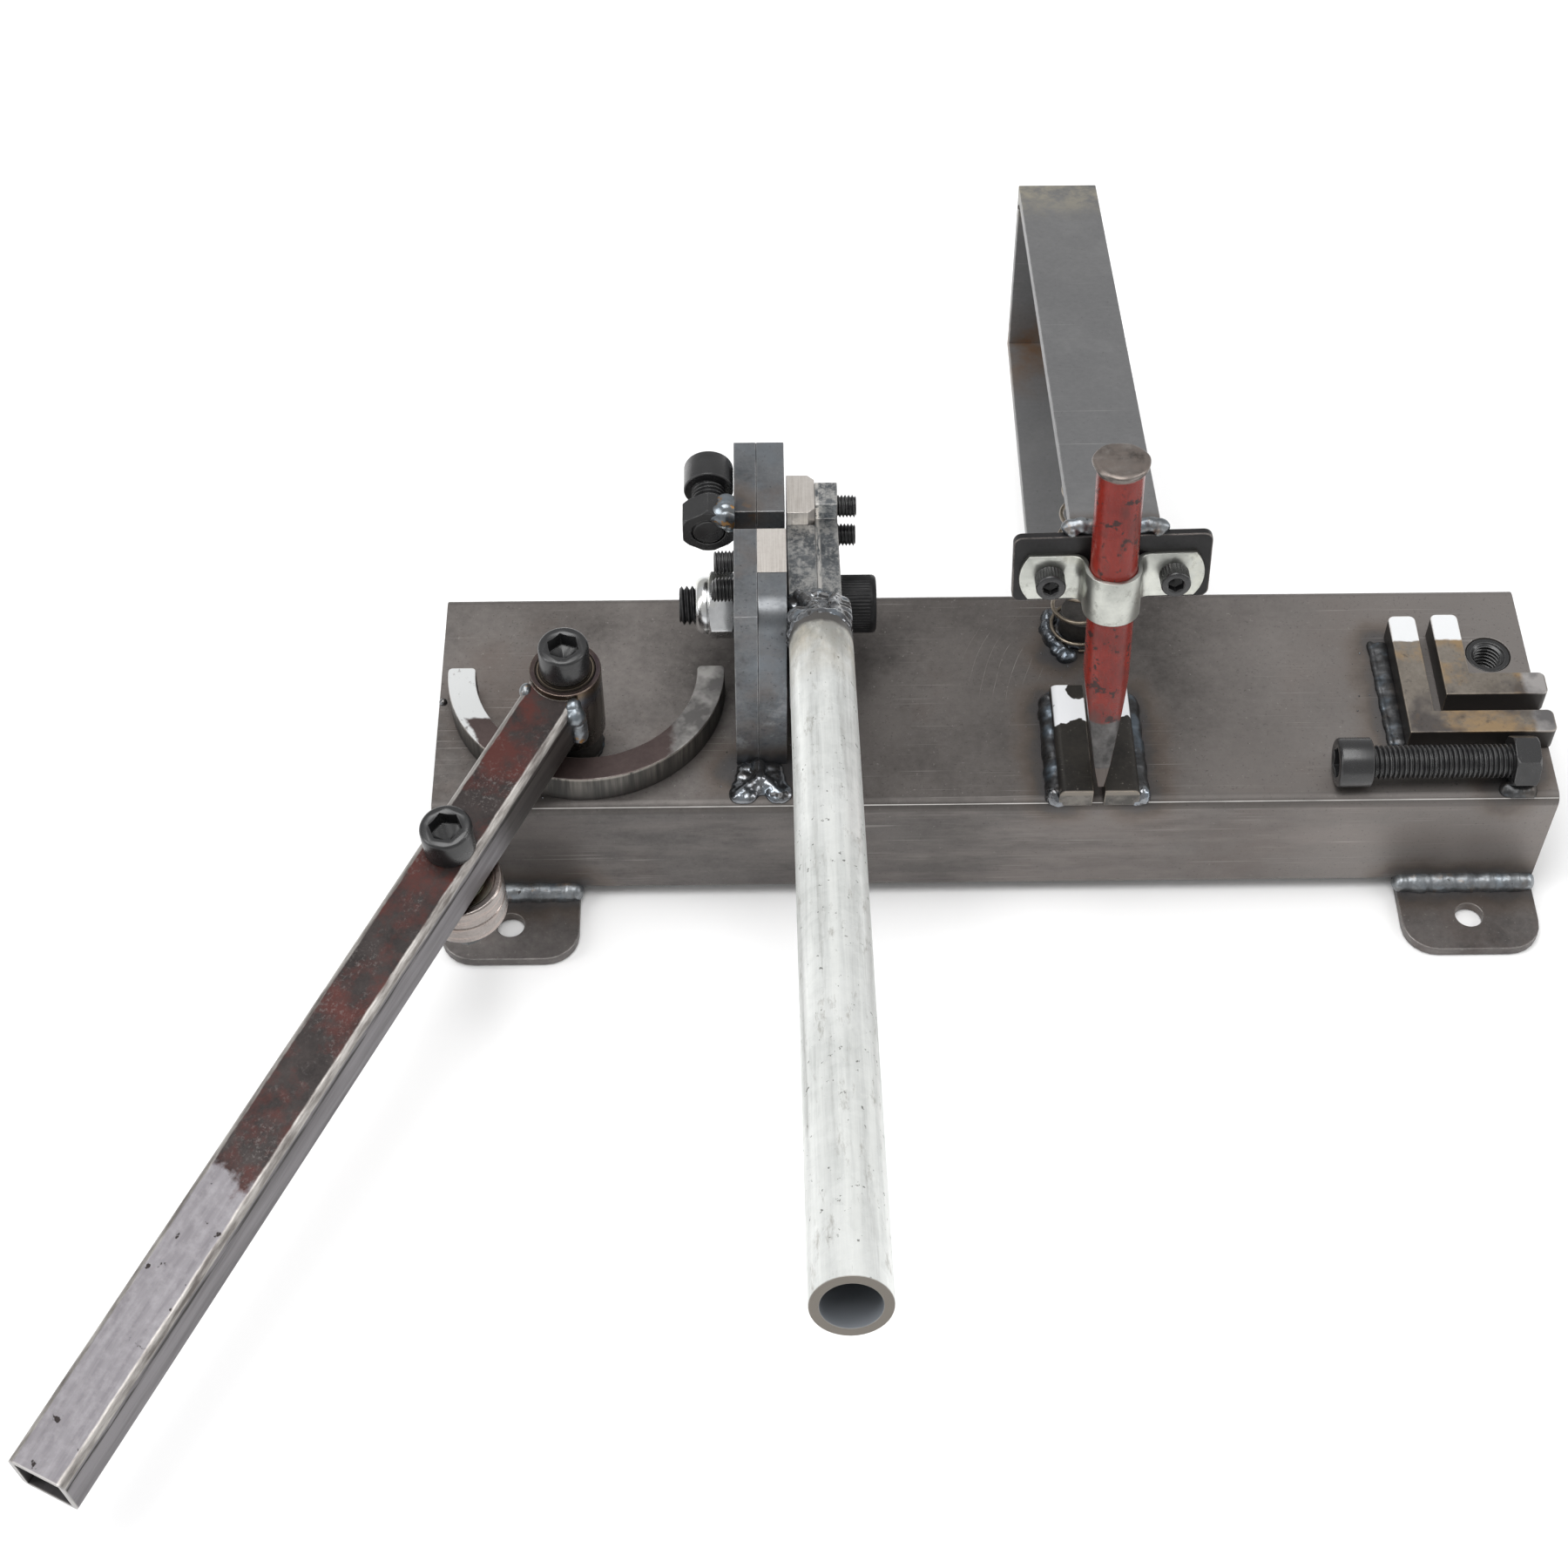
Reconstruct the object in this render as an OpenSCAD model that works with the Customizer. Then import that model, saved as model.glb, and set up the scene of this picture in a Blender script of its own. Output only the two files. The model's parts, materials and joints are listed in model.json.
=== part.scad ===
// Manual ironworker: a bench tool on a square base tube with a swinging bar bender, a lever shear,
// a sprung chisel over a slotted die, and two angle dies with a bend stop.
// The origin is at the centre of the base's footprint, on the bench: +X right, +Y back, +Z up.

/* [Base tube] */
// Length of the base tube, left to right
base_l = 400; // [360:5:480]
// Depth of the base tube, front to back
base_w = 100; // [96:1:130]
// Height of the base tube
base_h = 50; // [40:1:70]
// Wall of the base tube
base_wall = 3; // [2:0.5:5]
// Outer corner radius of the base tube
base_r = 4; // [2:0.5:6]

/* [Foot plates] */
// Width of a foot plate, along the base
foot_w = 50; // [40:1:70]
// Length of a foot plate, front to back
foot_l = 160; // [150:1:200]
// Thickness of a foot plate
foot_t = 4; // [3:0.5:8]
// Corner radius of a foot plate
foot_r = 12; // [4:1:18]
// Diameter of a bench bolt hole
foot_hole_d = 10; // [6:0.5:14]
// Bench bolt hole's distance from the foot plate's end
foot_hole_inset = 15; // [10:1:22]

/* [Bender pivot] */
// Pivot's distance from the base's left end
bender_from_left = 49; // [45:1:60]
// Pivot's distance from the base's front
bender_from_front = 29.5; // [25:0.5:40]
// Diameter of the welded boss under the pivot
boss_d = 22; // [20:0.5:23]
// Height of the welded boss
boss_h = 10.5; // [8:0.5:16]
// Outer diameter of the hardened sleeve
sleeve_d = 16; // [14.5:0.5:18]
// Length of the hardened sleeve
sleeve_l = 31.7; // [28:0.1:40]
// Outer diameter of the lever's housing
housing_d = 25; // [24:0.5:30]
// Wall of the lever's housing
housing_wall = 2; // [1.5:0.1:2.5]
// Length of the pivot screw under its head
pivot_screw_l = 45; // [45:1:60]

/* [Bender former] */
// Outer radius of the half ring
arc_r = 50; // [45:0.5:56]
// Radial width of the half ring
arc_w = 10; // [6:0.5:12]
// Height of the half ring
arc_h = 12; // [8:0.5:12.5]
// Ring centre's distance to the right of the pivot
arc_dx = 5; // [0:0.5:8]
// Ring centre's distance behind the pivot
arc_dy = 24.2; // [23:0.1:28]
// How far the half ring's tips run on past the half
arc_over = 1.7; // [0:0.1:4]

/* [Bender lever] */
// Outside size of the square lever tube
lever_size = 20; // [16:0.5:22]
// Wall of the lever tube
lever_wall = 2; // [1.5:0.1:3]
// Outer corner radius of the lever tube
lever_r = 2.5; // [1:0.1:4]
// Distance from the pivot axis to the lever's far end
lever_reach = 318; // [220:1:420]
// Lever's turn from straight ahead toward the left
lever_yaw = 27.3; // [20:0.1:35]
// Lever's droop below level
lever_droop = 4.18; // [3:0.02:5]
// Height of the lever's top line over the base, at the pivot axis
lever_rise = 40.3; // [39.5:0.1:42]

/* [Bender roller] */
// Distance from the pivot axis to the roller, along the lever
roller_reach = 79.4; // [78:0.1:90]
// Outer diameter of a bearing
bearing_d = 30; // [26:0.5:32]
// Width of a bearing
bearing_w = 9; // [8:0.5:11]
// Radial width of a bearing's rings
bearing_ring = 2.5; // [2:0.1:3]
// Radius of a bearing ball
ball_r = 2.2; // [2:0.05:2.5]
// Balls in a bearing
ball_count = 8; // [6:1:10]
// Thickness of the washer over the bearings
roller_washer_t = 1; // [0.5:0.1:3]
// Diameter of the washer over the bearings
roller_washer_d = 17; // [16:0.5:19]
// Length of the roller screw under its head
roller_screw_l = 50; // [48:1:60]

/* [Screws and nuts] */
// Diameter of the large screws' shanks
screw_d = 12; // [11:0.5:12.5]
// Diameter of the large screws' heads
screw_head_d = 17.6; // [16:0.1:17.8]
// Height of the large screws' heads
screw_head_h = 12; // [8:0.5:14]
// Width across flats of the large screws' sockets
screw_key = 10; // [8:0.5:11]
// Depth of the large screws' sockets
screw_key_depth = 6; // [3:0.5:7]
// Width across flats of the large nuts
nut_af = 18; // [17:0.5:19]
// Height of the large nuts
nut_h = 10; // [8:0.5:11]
// Chamfer on screw heads and screw ends
screw_chamfer = 0.9; // [0.4:0.1:1.5]

/* [Shear frame] */
// Joint plane of the two frame plates, left of the base's middle
frame_joint = 84; // [78:1:95]
// Thickness of the left frame plate
frame_left_t = 8; // [6:0.5:12]
// Thickness of the right frame plate
frame_right_t = 10; // [8:0.5:12]
// Frame's distance from the base's front
frame_inset = 19; // [14:0.5:24]
// Height of the frame over the base
frame_h = 80; // [78:1:95]
// Frame's foot length on the base, front to back
frame_foot = 79; // [75:1:80]
// Front corner radius of the right frame plate
frame_corner_r = 10; // [4:1:14]
// Back edge of the fixed blade, in front of the lever's pivot
mouth_ahead = 10.8; // [9:0.2:12]
// Width of the mouth for the bar
mouth_w = 21.1; // [16:0.5:24]
// Height of the mouth's floor over the base
mouth_floor = 50; // [48:1:52]
// Corner radius at the mouth's floor
mouth_r = 3; // [1:0.5:5]
// Height of the frame's back block over the base
back_h = 66; // [60:1:70]
// Length of the frame's back block behind the mouth
back_l = 37; // [32:0.5:42]
// Height of the back block's lower edge over the base
back_low = 25; // [15:1:35]

/* [Shear blades] */
// Width of a blade
blade_w = 20; // [16:0.5:21]
// Length of a blade
blade_l = 30; // [26:1:32]
// Blade screw hole's distance below the blade's top
blade_hole_top = 6; // [5.8:0.1:8]
// Distance between a blade's two screws
blade_hole_gap = 13.6; // [12:0.1:15]
// Diameter of the blade screws
blade_screw_d = 8; // [6:0.5:8]
// Head diameter of the blade screws
blade_screw_head_d = 11; // [10:0.5:11.5]
// How far the blade screws stand out behind their plates
blade_screw_out = 6.8; // [2:0.2:8]
// Chamfer on the moving blade's right-hand edges
blade_chamfer = 2.5; // [1:0.1:4]
// Lean of the moving blade against its plates
blade_lean = 10.9; // [8:0.1:14]

/* [Shear lever] */
// Lever pivot's distance behind the base's middle
shear_pivot_y = 20; // [16:0.5:24]
// Lever pivot's height over the base
shear_pivot_rise = 28.3; // [27:0.1:32]
// Handle's rise above level, as it rests
handle_rise = 15.93; // [10:0.01:20]
// Thickness of the right lever plate
lever_right_t = 8; // [6:0.5:10]
// Distance from the lever pivot to the plates' front end
plate_reach = 73; // [70:1:85]
// Distance from the lever pivot up to the plates' top edge
plate_top = 33.3; // [32:0.1:35]
// Radius of the plates round the pivot
plate_round = 22; // [18:0.5:24]
// Outer diameter of the pipe handle
pipe_d = 21.3; // [18:0.1:26]
// Wall of the pipe handle
pipe_wall = 2.75; // [2:0.05:4]
// Length of the pipe handle
pipe_l = 295; // [200:5:400]
// Height of the pipe's axis over the lever pivot's line
pipe_axis = 34.1; // [32:0.1:36]
// Pipe's offset to the right of the lever plates' middle
pipe_offset = 1.2; // [0:0.1:2]

/* [Shear pivot] */
// Diameter of the lever's pivot bolt
bolt_d = 14; // [12:0.5:16]
// Head diameter of the pivot bolt
bolt_head_d = 21; // [18:0.5:24]
// Head height of the pivot bolt
bolt_head_h = 13.2; // [10:0.2:16]
// Width across flats of the pivot bolt's socket
bolt_key = 12; // [10:0.5:13]
// Width across flats of the locking nut
lock_af = 22; // [21:0.5:24]
// Height of the locking nut's hexagon
lock_h = 9.6; // [8:0.2:12]
// Height of the locking nut's collar
lock_collar_h = 4.6; // [2:0.2:6]
// Diameter of the locking nut's collar
lock_collar_d = 20.5; // [18:0.5:21]
// Length of bolt that stands out of the locking nut
bolt_out = 5.8; // [2:0.2:10]

/* [Stop screw] */
// Height of the stop screw over the base
stop_rise = 62; // [58:0.5:64]
// Length of the stop screw under its head
stop_screw_l = 20; // [16:1:30]
// Nut's distance behind the fixed blade's back edge
stop_behind = 15.1; // [12:0.1:18]

/* [Chisel arm] */
// Arm's middle, right of the base's middle
arm_from_middle = 34.5; // [30:0.5:38]
// Width of the flat bars of the arm
bar_w = 30; // [25:0.5:32]
// Thickness of the flat bars of the arm
bar_t = 5; // [4:0.5:6]
// Reach of the lower bar behind the base
arm_back = 140; // [120:1:160]
// Height of the arm's back corner over the base
arm_rise = 70; // [65:0.5:75]
// Lean of the back corner behind the lower bar's end
arm_lean = 9; // [4:0.5:14]
// Slope of the upper bar
arm_slope = 9.81; // [8:0.01:12]
// Length of the upper bar
arm_l = 217.2; // [200:0.1:230]
// Width of the clamp plate
clamp_w = 66; // [63:1:74]
// Height of the clamp plate
clamp_h = 26.4; // [26:0.2:32]
// Thickness of the clamp plate
clamp_t = 3; // [2:0.5:6]
// Corner radius of the clamp plate
clamp_r = 3; // [1:0.5:8]
// Clamp plate's top edge below the upper bar's top
clamp_low = 3; // [1:0.2:4]
// Shift of the clamp plate and its screws to the right of the chisel
clamp_shift = 0.5; // [0:0.1:1]
// Roll of the clamp plate and the chisel about the upper bar
clamp_roll = 1.36; // [0:0.02:2]

/* [Chisel] */
// Diameter of the chisel
chisel_d = 15.6; // [14:0.2:18]
// Chisel's reach above the upper bar
chisel_above = 33.6; // [20:0.2:45]
// Chisel's reach below the upper bar
chisel_below = 101.2; // [97:0.1:101.4]
// Length of the chisel's taper
chisel_taper = 48; // [44:0.5:60]
// Thickness of the chisel's edge
chisel_edge = 2; // [1:0.1:2.2]
// Diameter of the chisel's struck head
chisel_head_d = 18.8; // [16:0.1:22]
// Thickness of the clip round the chisel
clip_t = 1.6; // [1:0.1:2.5]
// Height of the clip round the chisel
clip_h = 17.6; // [14:0.2:18.4]
// Width of the clip over its two ears
clip_w = 61.8; // [58:0.2:63]
// Radius of the clip's rounded ends
clip_end_r = 14; // [10:0.5:20]
// Clip's distance below the upper bar's top
clip_drop = 9.8; // [7:0.2:10.6]
// Distance between the clip's two screws
clip_screw_gap = 41.5; // [39:0.5:43]
// Diameter of the clip screws
clip_screw_d = 6; // [4:0.5:6]
// Head diameter of the clip screws
clip_screw_head_d = 10; // [8:0.5:10]
// Head height of the clip screws
clip_screw_head_h = 6; // [4:0.5:8]
// Length of the clip screws under their heads
clip_screw_l = 12; // [8:0.5:16]
// Width across flats of the clip screws' sockets
clip_screw_key = 5; // [3:0.5:6]

/* [Return spring] */
// Spring's middle, behind the base's middle
spring_y = 31; // [28:0.5:34]
// Mean radius of the spring
spring_r = 10.9; // [10.5:0.1:12]
// Wire of the spring
spring_wire = 1.6; // [1.2:0.1:1.8]
// Curls of the spring
spring_turns = 9; // [7:1:11]
// Rise of the first and of the last curl
spring_end_pitch = 3.4; // [2.8:0.1:4]
// How far the spring's top stands to the left of its foot
spring_shift = 2; // [0:0.1:3]
// Diameter of the post inside the spring
post_d = 16; // [12:0.5:16]
// Height of the post inside the spring
post_h = 11; // [6:0.5:16]

/* [Slotted die] */
// Width of the slot under the chisel
slot_w = 4; // [3.9:0.1:5]
// Width of the left die block
slot_left_w = 11.9; // [10:0.1:15]
// Width of the right die block
slot_right_w = 12.5; // [10:0.1:15]
// Length of the die blocks, front to back
slot_l = 49; // [44:0.5:54]
// Height of the die blocks
slot_h = 8; // [6:0.5:9]
// Corner radius along the die blocks' outer top edges
slot_r = 2.5; // [0.5:0.1:4]
// How far the die blocks stand out over the base's front
slot_out = 1; // [0:0.5:2]

/* [Angle dies] */
// Section of the angle dies' square bar
angle_bar = 10; // [8:0.5:11]
// Outer angle die's left face, from the base's right end
angle_from_right = 51.7; // [48:0.1:56]
// Outer angle die's front face, from the base's front
angle_from_front = 22.7; // [20:0.1:24]
// Length of the outer angle die's leg, front to back
outer_leg = 54.9; // [48:0.5:60]
// How far the angle dies reach past the base's right end
angle_over = 1; // [0:0.5:4]
// Gap between the angle dies, left to right
angle_gap_x = 5.6; // [4.5:0.1:7]
// Gap between the angle dies, front to back
angle_gap_y = 7.4; // [4.5:0.1:8]
// Length of the inner angle die's leg, front to back
inner_leg = 38.1; // [30:0.5:42]
// Outer diameter of the tapped bush
bush_d = 16.5; // [15:0.5:18]
// Bore of the tapped bush
bush_bore = 10.3; // [9:0.1:11]
// Bush's height
bush_h = 12; // [8:0.5:16]
// How far the bush sits below the base's top
bush_sunk = 0.4; // [0:0.1:1]
// Tapped bush's distance from the base's right end
bush_from_right = 14.3; // [12:0.1:18]
// Tapped bush's distance from the base's back
bush_from_back = 33; // [28:0.5:36]

/* [Bend stop] */
// Bend stop screw's distance from the base's front
bend_stop_from_front = 10.2; // [10:0.1:11]
// Bend stop nut's distance from the base's right end
bend_nut_from_right = 9.4; // [4:0.1:12]
// Width across flats of the bend stop nut
bend_nut_af = 17; // [16:0.5:18]
// Height of the bend stop nut
bend_nut_h = 8.8; // [7:0.2:10]
// Turn of the bend stop nut about its screw
bend_nut_turn = 13; // [5:1:20]
// Length of the bend stop screw under its head
bend_screw_l = 55; // [50:1:70]
// How far the bend stop screw's tip sits inside its nut
bend_tip_in = 5.2; // [4.5:0.1:8]

/* [Weld beads] */
// Width of the beads between base and foot plates
foot_bead = 6.2; // [4:0.1:9]
// Width of the bead in front of the shear frame
frame_bead = 16; // [8:0.5:18]
// Width of the bead left of the slotted die
slot_bead_left = 4.8; // [3:0.1:8]
// Width of the bead right of the slotted die
slot_bead_right = 5.5; // [3:0.1:8]
// Width of the bead left of the outer angle die
angle_bead = 8; // [4:0.1:10]
// Length of the weld between lever plates and pipe handle
handle_bead_l = 18; // [8:0.5:20]
// Width of the weld ring round the bender's boss
boss_bead = 1.6; // [1:0.1:1.8]
// Width of the weld ring round the spring's post
post_bead = 1.4; // [1:0.1:1.6]

/* [Clearances] */
// Radial running clearance of pins and screws
run_gap = 0.05; // [0.02:0.01:0.1]
// Radial clearance of pieces pressed or fastened together
press_gap = 0.02; // [0.01:0.01:0.05]
// Side clearance between lever plates and frame plates
side_gap = 0.65; // [0.3:0.05:0.9]
// Gap between the pivot bolt's head and the right lever plate
bolt_play = 0.8; // [0.3:0.1:1.2]
// End play of the bender lever on its sleeve
end_play = 0.35; // [0.2:0.05:0.6]

/* [Hidden] */

$fn = 64;
eps = 0.01;
arc_steps = 6;

// Heights
deck = foot_t + base_h;
boss_top = deck + boss_h;
sleeve_top = boss_top + sleeve_l;

// Places on the base
base_front = -base_w / 2;
base_back = base_w / 2;
base_right = base_l / 2;
bender_x = -base_l / 2 + bender_from_left;
bender_y = base_front + bender_from_front;
housing_bore_d = housing_d - 2 * housing_wall;

// Bearing rings
bearing_bore_d = screw_d + 2 * press_gap;
inner_ring_r = bearing_bore_d / 2 + bearing_ring;
outer_ring_r = bearing_d / 2 - bearing_ring;
ball_track_r = (inner_ring_r + outer_ring_r) / 2;
shield_t = 0.5;
shield_in = 0.4;

// Shear frame and lever plates
frame_x = -frame_joint;
frame_front = base_front + frame_inset;
lever_left_t = frame_right_t;
lever_x = frame_x + frame_right_t + side_gap;
lever_mid_x = lever_x + lever_left_t;
lever_right_x = lever_mid_x + lever_right_t;
shear_pivot_z = deck + shear_pivot_rise;
mouth_front = shear_pivot_y - mouth_ahead;
mouth_back = mouth_front + mouth_w;
frame_top = deck + frame_h;
fixed_blade_bottom = frame_top - blade_l;
blade_hole_depth = blade_w / 2;
pipe_x = (lever_x + lever_right_x) / 2 + pipe_offset;

// Moving blade's front top corner, ahead of and above the lever pivot
blade_u = 1.1;
blade_n = 38.9;

// Stop screw
stop_x = frame_x - frame_left_t - nut_af / 2;
stop_z = deck + stop_rise;
stop_y = mouth_front + stop_behind;
nut_half = nut_af / 2 * tan(30);

// Chisel arm
arm_foot_y = base_back + arm_back;
arm_corner = [arm_foot_y + arm_lean, deck + arm_rise];
upright_t = bar_t * 1.01;
clamp_face = arm_l + clamp_t;
chisel_s = clamp_face + chisel_d / 2 + press_gap * 5;
clip_middle = clip_drop + clip_h / 2;
roll_height = -15;
roll_shift = -0.9;

// Slotted die
slot_x = arm_from_middle + 1;
slot_front = base_front - slot_out;
slot_bead = slot_h - slot_r;

// Angle dies
outer_x = base_right - angle_from_right;
outer_y = base_front + angle_from_front;
angle_end = base_right + angle_over;
inner_x = outer_x + angle_bar + angle_gap_x;
inner_y = outer_y + angle_bar + angle_gap_y;
angle_h = 10;
bush_x = base_right - bush_from_right;
bush_y = base_back - bush_from_back;

// Bend stop
bend_y = base_front + bend_stop_from_front;
bend_z = deck + nut_af / 2;
bend_nut_right = base_right - bend_nut_from_right;
bend_nut_left = bend_nut_right - bend_nut_h;
bend_head_x = bend_nut_left + bend_tip_in - bend_screw_l;

// Points of a quarter turn of radius r about [x, y], from the angle given
function quarter(x, y, r, from, turn = 90) = [
    for (i = [0:arc_steps]) [x, y] + r * [cos(from + turn * i / arc_steps), sin(from + turn * i / arc_steps)]
];

// Outline of a rectangle w by h with round corners, centred
function round_box(w, h, r) = concat(
    quarter(w / 2 - r, h / 2 - r, r, 0),
    quarter(-w / 2 + r, h / 2 - r, r, 90),
    quarter(-w / 2 + r, -h / 2 + r, r, 180),
    quarter(w / 2 - r, -h / 2 + r, r, 270)
);

// Outline of a weld fillet, a along the first face and b up the second
function fillet(a, b) = [
    [0, 0], [a, 0], [0.88 * a, 0.3 * b], [0.64 * a, 0.62 * b], [0.32 * a, 0.87 * b], [0, b]
];

// A point of the shear lever's side: u ahead of its pivot along the handle, n above it
function lever_point(u, n) = [
    shear_pivot_y - u * cos(handle_rise) + n * sin(handle_rise),
    shear_pivot_z + u * sin(handle_rise) + n * cos(handle_rise)
];

// A point of the moving blade's side in u and n: back from its front face and down from its top
function blade_point(back, down) = [
    blade_u - back * cos(blade_lean) - down * sin(blade_lean),
    blade_n + back * sin(blade_lean) - down * cos(blade_lean)
];

// Extrudes a side outline, given as [y, z], from x over the thickness t
module side_plate(x, t) {
    translate([x, 0, 0])
        rotate([90, 0, 90])
            linear_extrude(t) children();
}

// A cylinder along X from x over the length l, about [y, z]
module x_cylinder(x, l, y, z, d) {
    translate([x, y, z])
        rotate([0, 90, 0])
            cylinder(h = l, d = d);
}

// A cylinder along X that widens to meet a countersunk head on its right-hand face
module x_countersunk(x, l, y, z, d, head_d) {
    head_h = (head_d - d) / 2;
    translate([x, y, z])
        rotate([0, 90, 0])
            rotate_extrude()
                polygon([[0, 0], [d / 2, 0], [d / 2, l - head_h], [head_d / 2, l], [0, l]]);
}

// A hexagonal prism across flats af and high h, with a flat facing the first axis
module hexagon(af, h) {
    rotate([0, 0, 30])
        cylinder(h = h, d = af / cos(30), $fn = 6);
}

// A socket head screw, pointing down with the underside of its head at the origin
module socket_screw(d, l, head_d, head_h, key, depth) {
    c = screw_chamfer * d / 12;
    difference() {
        rotate_extrude()
            polygon([
                [0, -l], [d / 2 - c, -l], [d / 2, -l + c], [d / 2, 0], [head_d / 2, 0],
                [head_d / 2, head_h - c], [head_d / 2 - c, head_h], [0, head_h]
            ]);
        translate([0, 0, head_h - depth])
            hexagon(key, depth + 1);
    }
}

// A hexagon nut on a screw of the diameter d, standing on the origin
module nut(af, h, d) {
    difference() {
        intersection() {
            hexagon(af, h);
            cylinder(h = h, d1 = af * 1.04 + 2 * h, d2 = af * 1.04);
            cylinder(h = h, d1 = af * 1.04, d2 = af * 1.04 + 2 * h);
        }
        translate([0, 0, -1])
            cylinder(h = h + 2, d = d);
    }
}

// Moves to the bender pivot, on the base
module at_bender() {
    translate([bender_x, bender_y, deck]) children();
}

// The bender lever's frame: first axis along the lever, third square to its top face
module at_lever() {
    at_bender()
        rotate([0, 0, 270 - lever_yaw])
            translate([0, 0, lever_rise])
                rotate([0, lever_droop, 0]) children();
}

// The roller's frame: the origin on the lever's top face, third axis along the roller screw
module at_roller() {
    at_lever() translate([roller_reach, 0, 0]) children();
}

// The shear lever's frame: first axis along the handle, second to the left, third upward
module at_shear() {
    translate([0, shear_pivot_y, shear_pivot_z])
        rotate([0, 0, -90])
            rotate([0, -handle_rise, 0]) children();
}

// The arm's frame: the origin at its back corner, second axis backward along the upper bar
module at_arm() {
    translate([arm_from_middle, arm_corner[0], arm_corner[1]])
        rotate([-arm_slope, 0, 0]) children();
}

// The clamp's frame: like the arm's, and rolled about the upper bar
module at_clamp() {
    at_arm()
        translate([roll_shift, 0, roll_height])
            rotate([0, -clamp_roll, 0])
                translate([0, 0, -roll_height]) children();
}

module base_tube() {
    color([0.30, 0.29, 0.28])
        difference() {
            translate([-base_l / 2, 0, foot_t + base_h / 2])
                rotate([90, 0, 90])
                    linear_extrude(base_l)
                        difference() {
                            polygon(round_box(base_w, base_h, base_r));
                            polygon(round_box(
                                base_w - 2 * base_wall,
                                base_h - 2 * base_wall,
                                max(base_r - base_wall, 0.5)
                            ));
                        }
            translate([bender_x, bender_y, deck - base_wall - 1])
                cylinder(h = base_wall + 2, d = screw_d + 2 * press_gap);
            translate([bush_x, bush_y, deck - base_wall - 1])
                cylinder(h = base_wall + 2, d = bush_d + 2 * press_gap);
        }
}

module foot_plate() {
    hole_y = foot_l / 2 - foot_hole_inset;
    difference() {
        linear_extrude(foot_t)
            polygon(round_box(foot_w, foot_l, foot_r));
        for (side = [-1, 1])
            translate([0, side * hole_y, -1])
                cylinder(h = foot_t + 2, d = foot_hole_d);
    }
}

module foot_plate_left() {
    color([0.27, 0.27, 0.27])
        translate([-base_l / 2 + foot_w / 2, 0, 0]) foot_plate();
}

module foot_plate_right() {
    color([0.27, 0.27, 0.27])
        translate([base_l / 2 - foot_w / 2, 0, 0]) foot_plate();
}

// A straight weld fillet along X, from x over the length l, against a face at y that looks to side
module weld_along_x(x, l, y, z, a, b, side) {
    translate([x, y, z])
        rotate([90, 0, 90])
            linear_extrude(l)
                polygon([for (p = fillet(a, b)) [side * p[0], p[1]]]);
}

// A straight weld fillet along Y, from y over the length l, against a face at x that looks to side
module weld_along_y(x, y, l, z, a, b, side) {
    translate([x, y + l, z])
        rotate([90, 0, 0])
            linear_extrude(l)
                polygon([for (p = fillet(a, b)) [side * p[0], p[1]]]);
}

// A weld ring round a boss of the radius r
module weld_ring(r, a) {
    rotate_extrude()
        polygon([[r, 0], [r + a, 0], [r + 0.7 * a, 0.55 * a], [r, a]]);
}

// Half outline of the bead between a nut standing on a flat and the flat, from the nut's edge outward
function nut_fillet(w, h) = [
    [nut_half, 0], [nut_half + w, 0], [nut_half + 0.8 * w, h / 2], [nut_half + h * tan(30), h]
];

// Corners of the bend stop nut as [y, z] from its screw's axis, and where its cut lowest corner meets the base
function nut_corner(i) = bend_nut_af / 2 / cos(30) * [cos(bend_nut_turn + 60 * i), sin(bend_nut_turn + 60 * i)];
function lift(p) = [p[0], p[1] + bend_z - deck];
nut_front = nut_corner(3);
nut_low = nut_corner(4);
nut_back = nut_corner(5);
nut_toe = 10;
nut_drop = (deck - bend_z - nut_low[1]);
nut_seat_back = nut_low[0] + nut_drop * (nut_back[0] - nut_low[0]) / (nut_back[1] - nut_low[1]);
nut_seat_front = nut_low[0] + nut_drop * (nut_front[0] - nut_low[0]) / (nut_front[1] - nut_low[1]);

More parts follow.
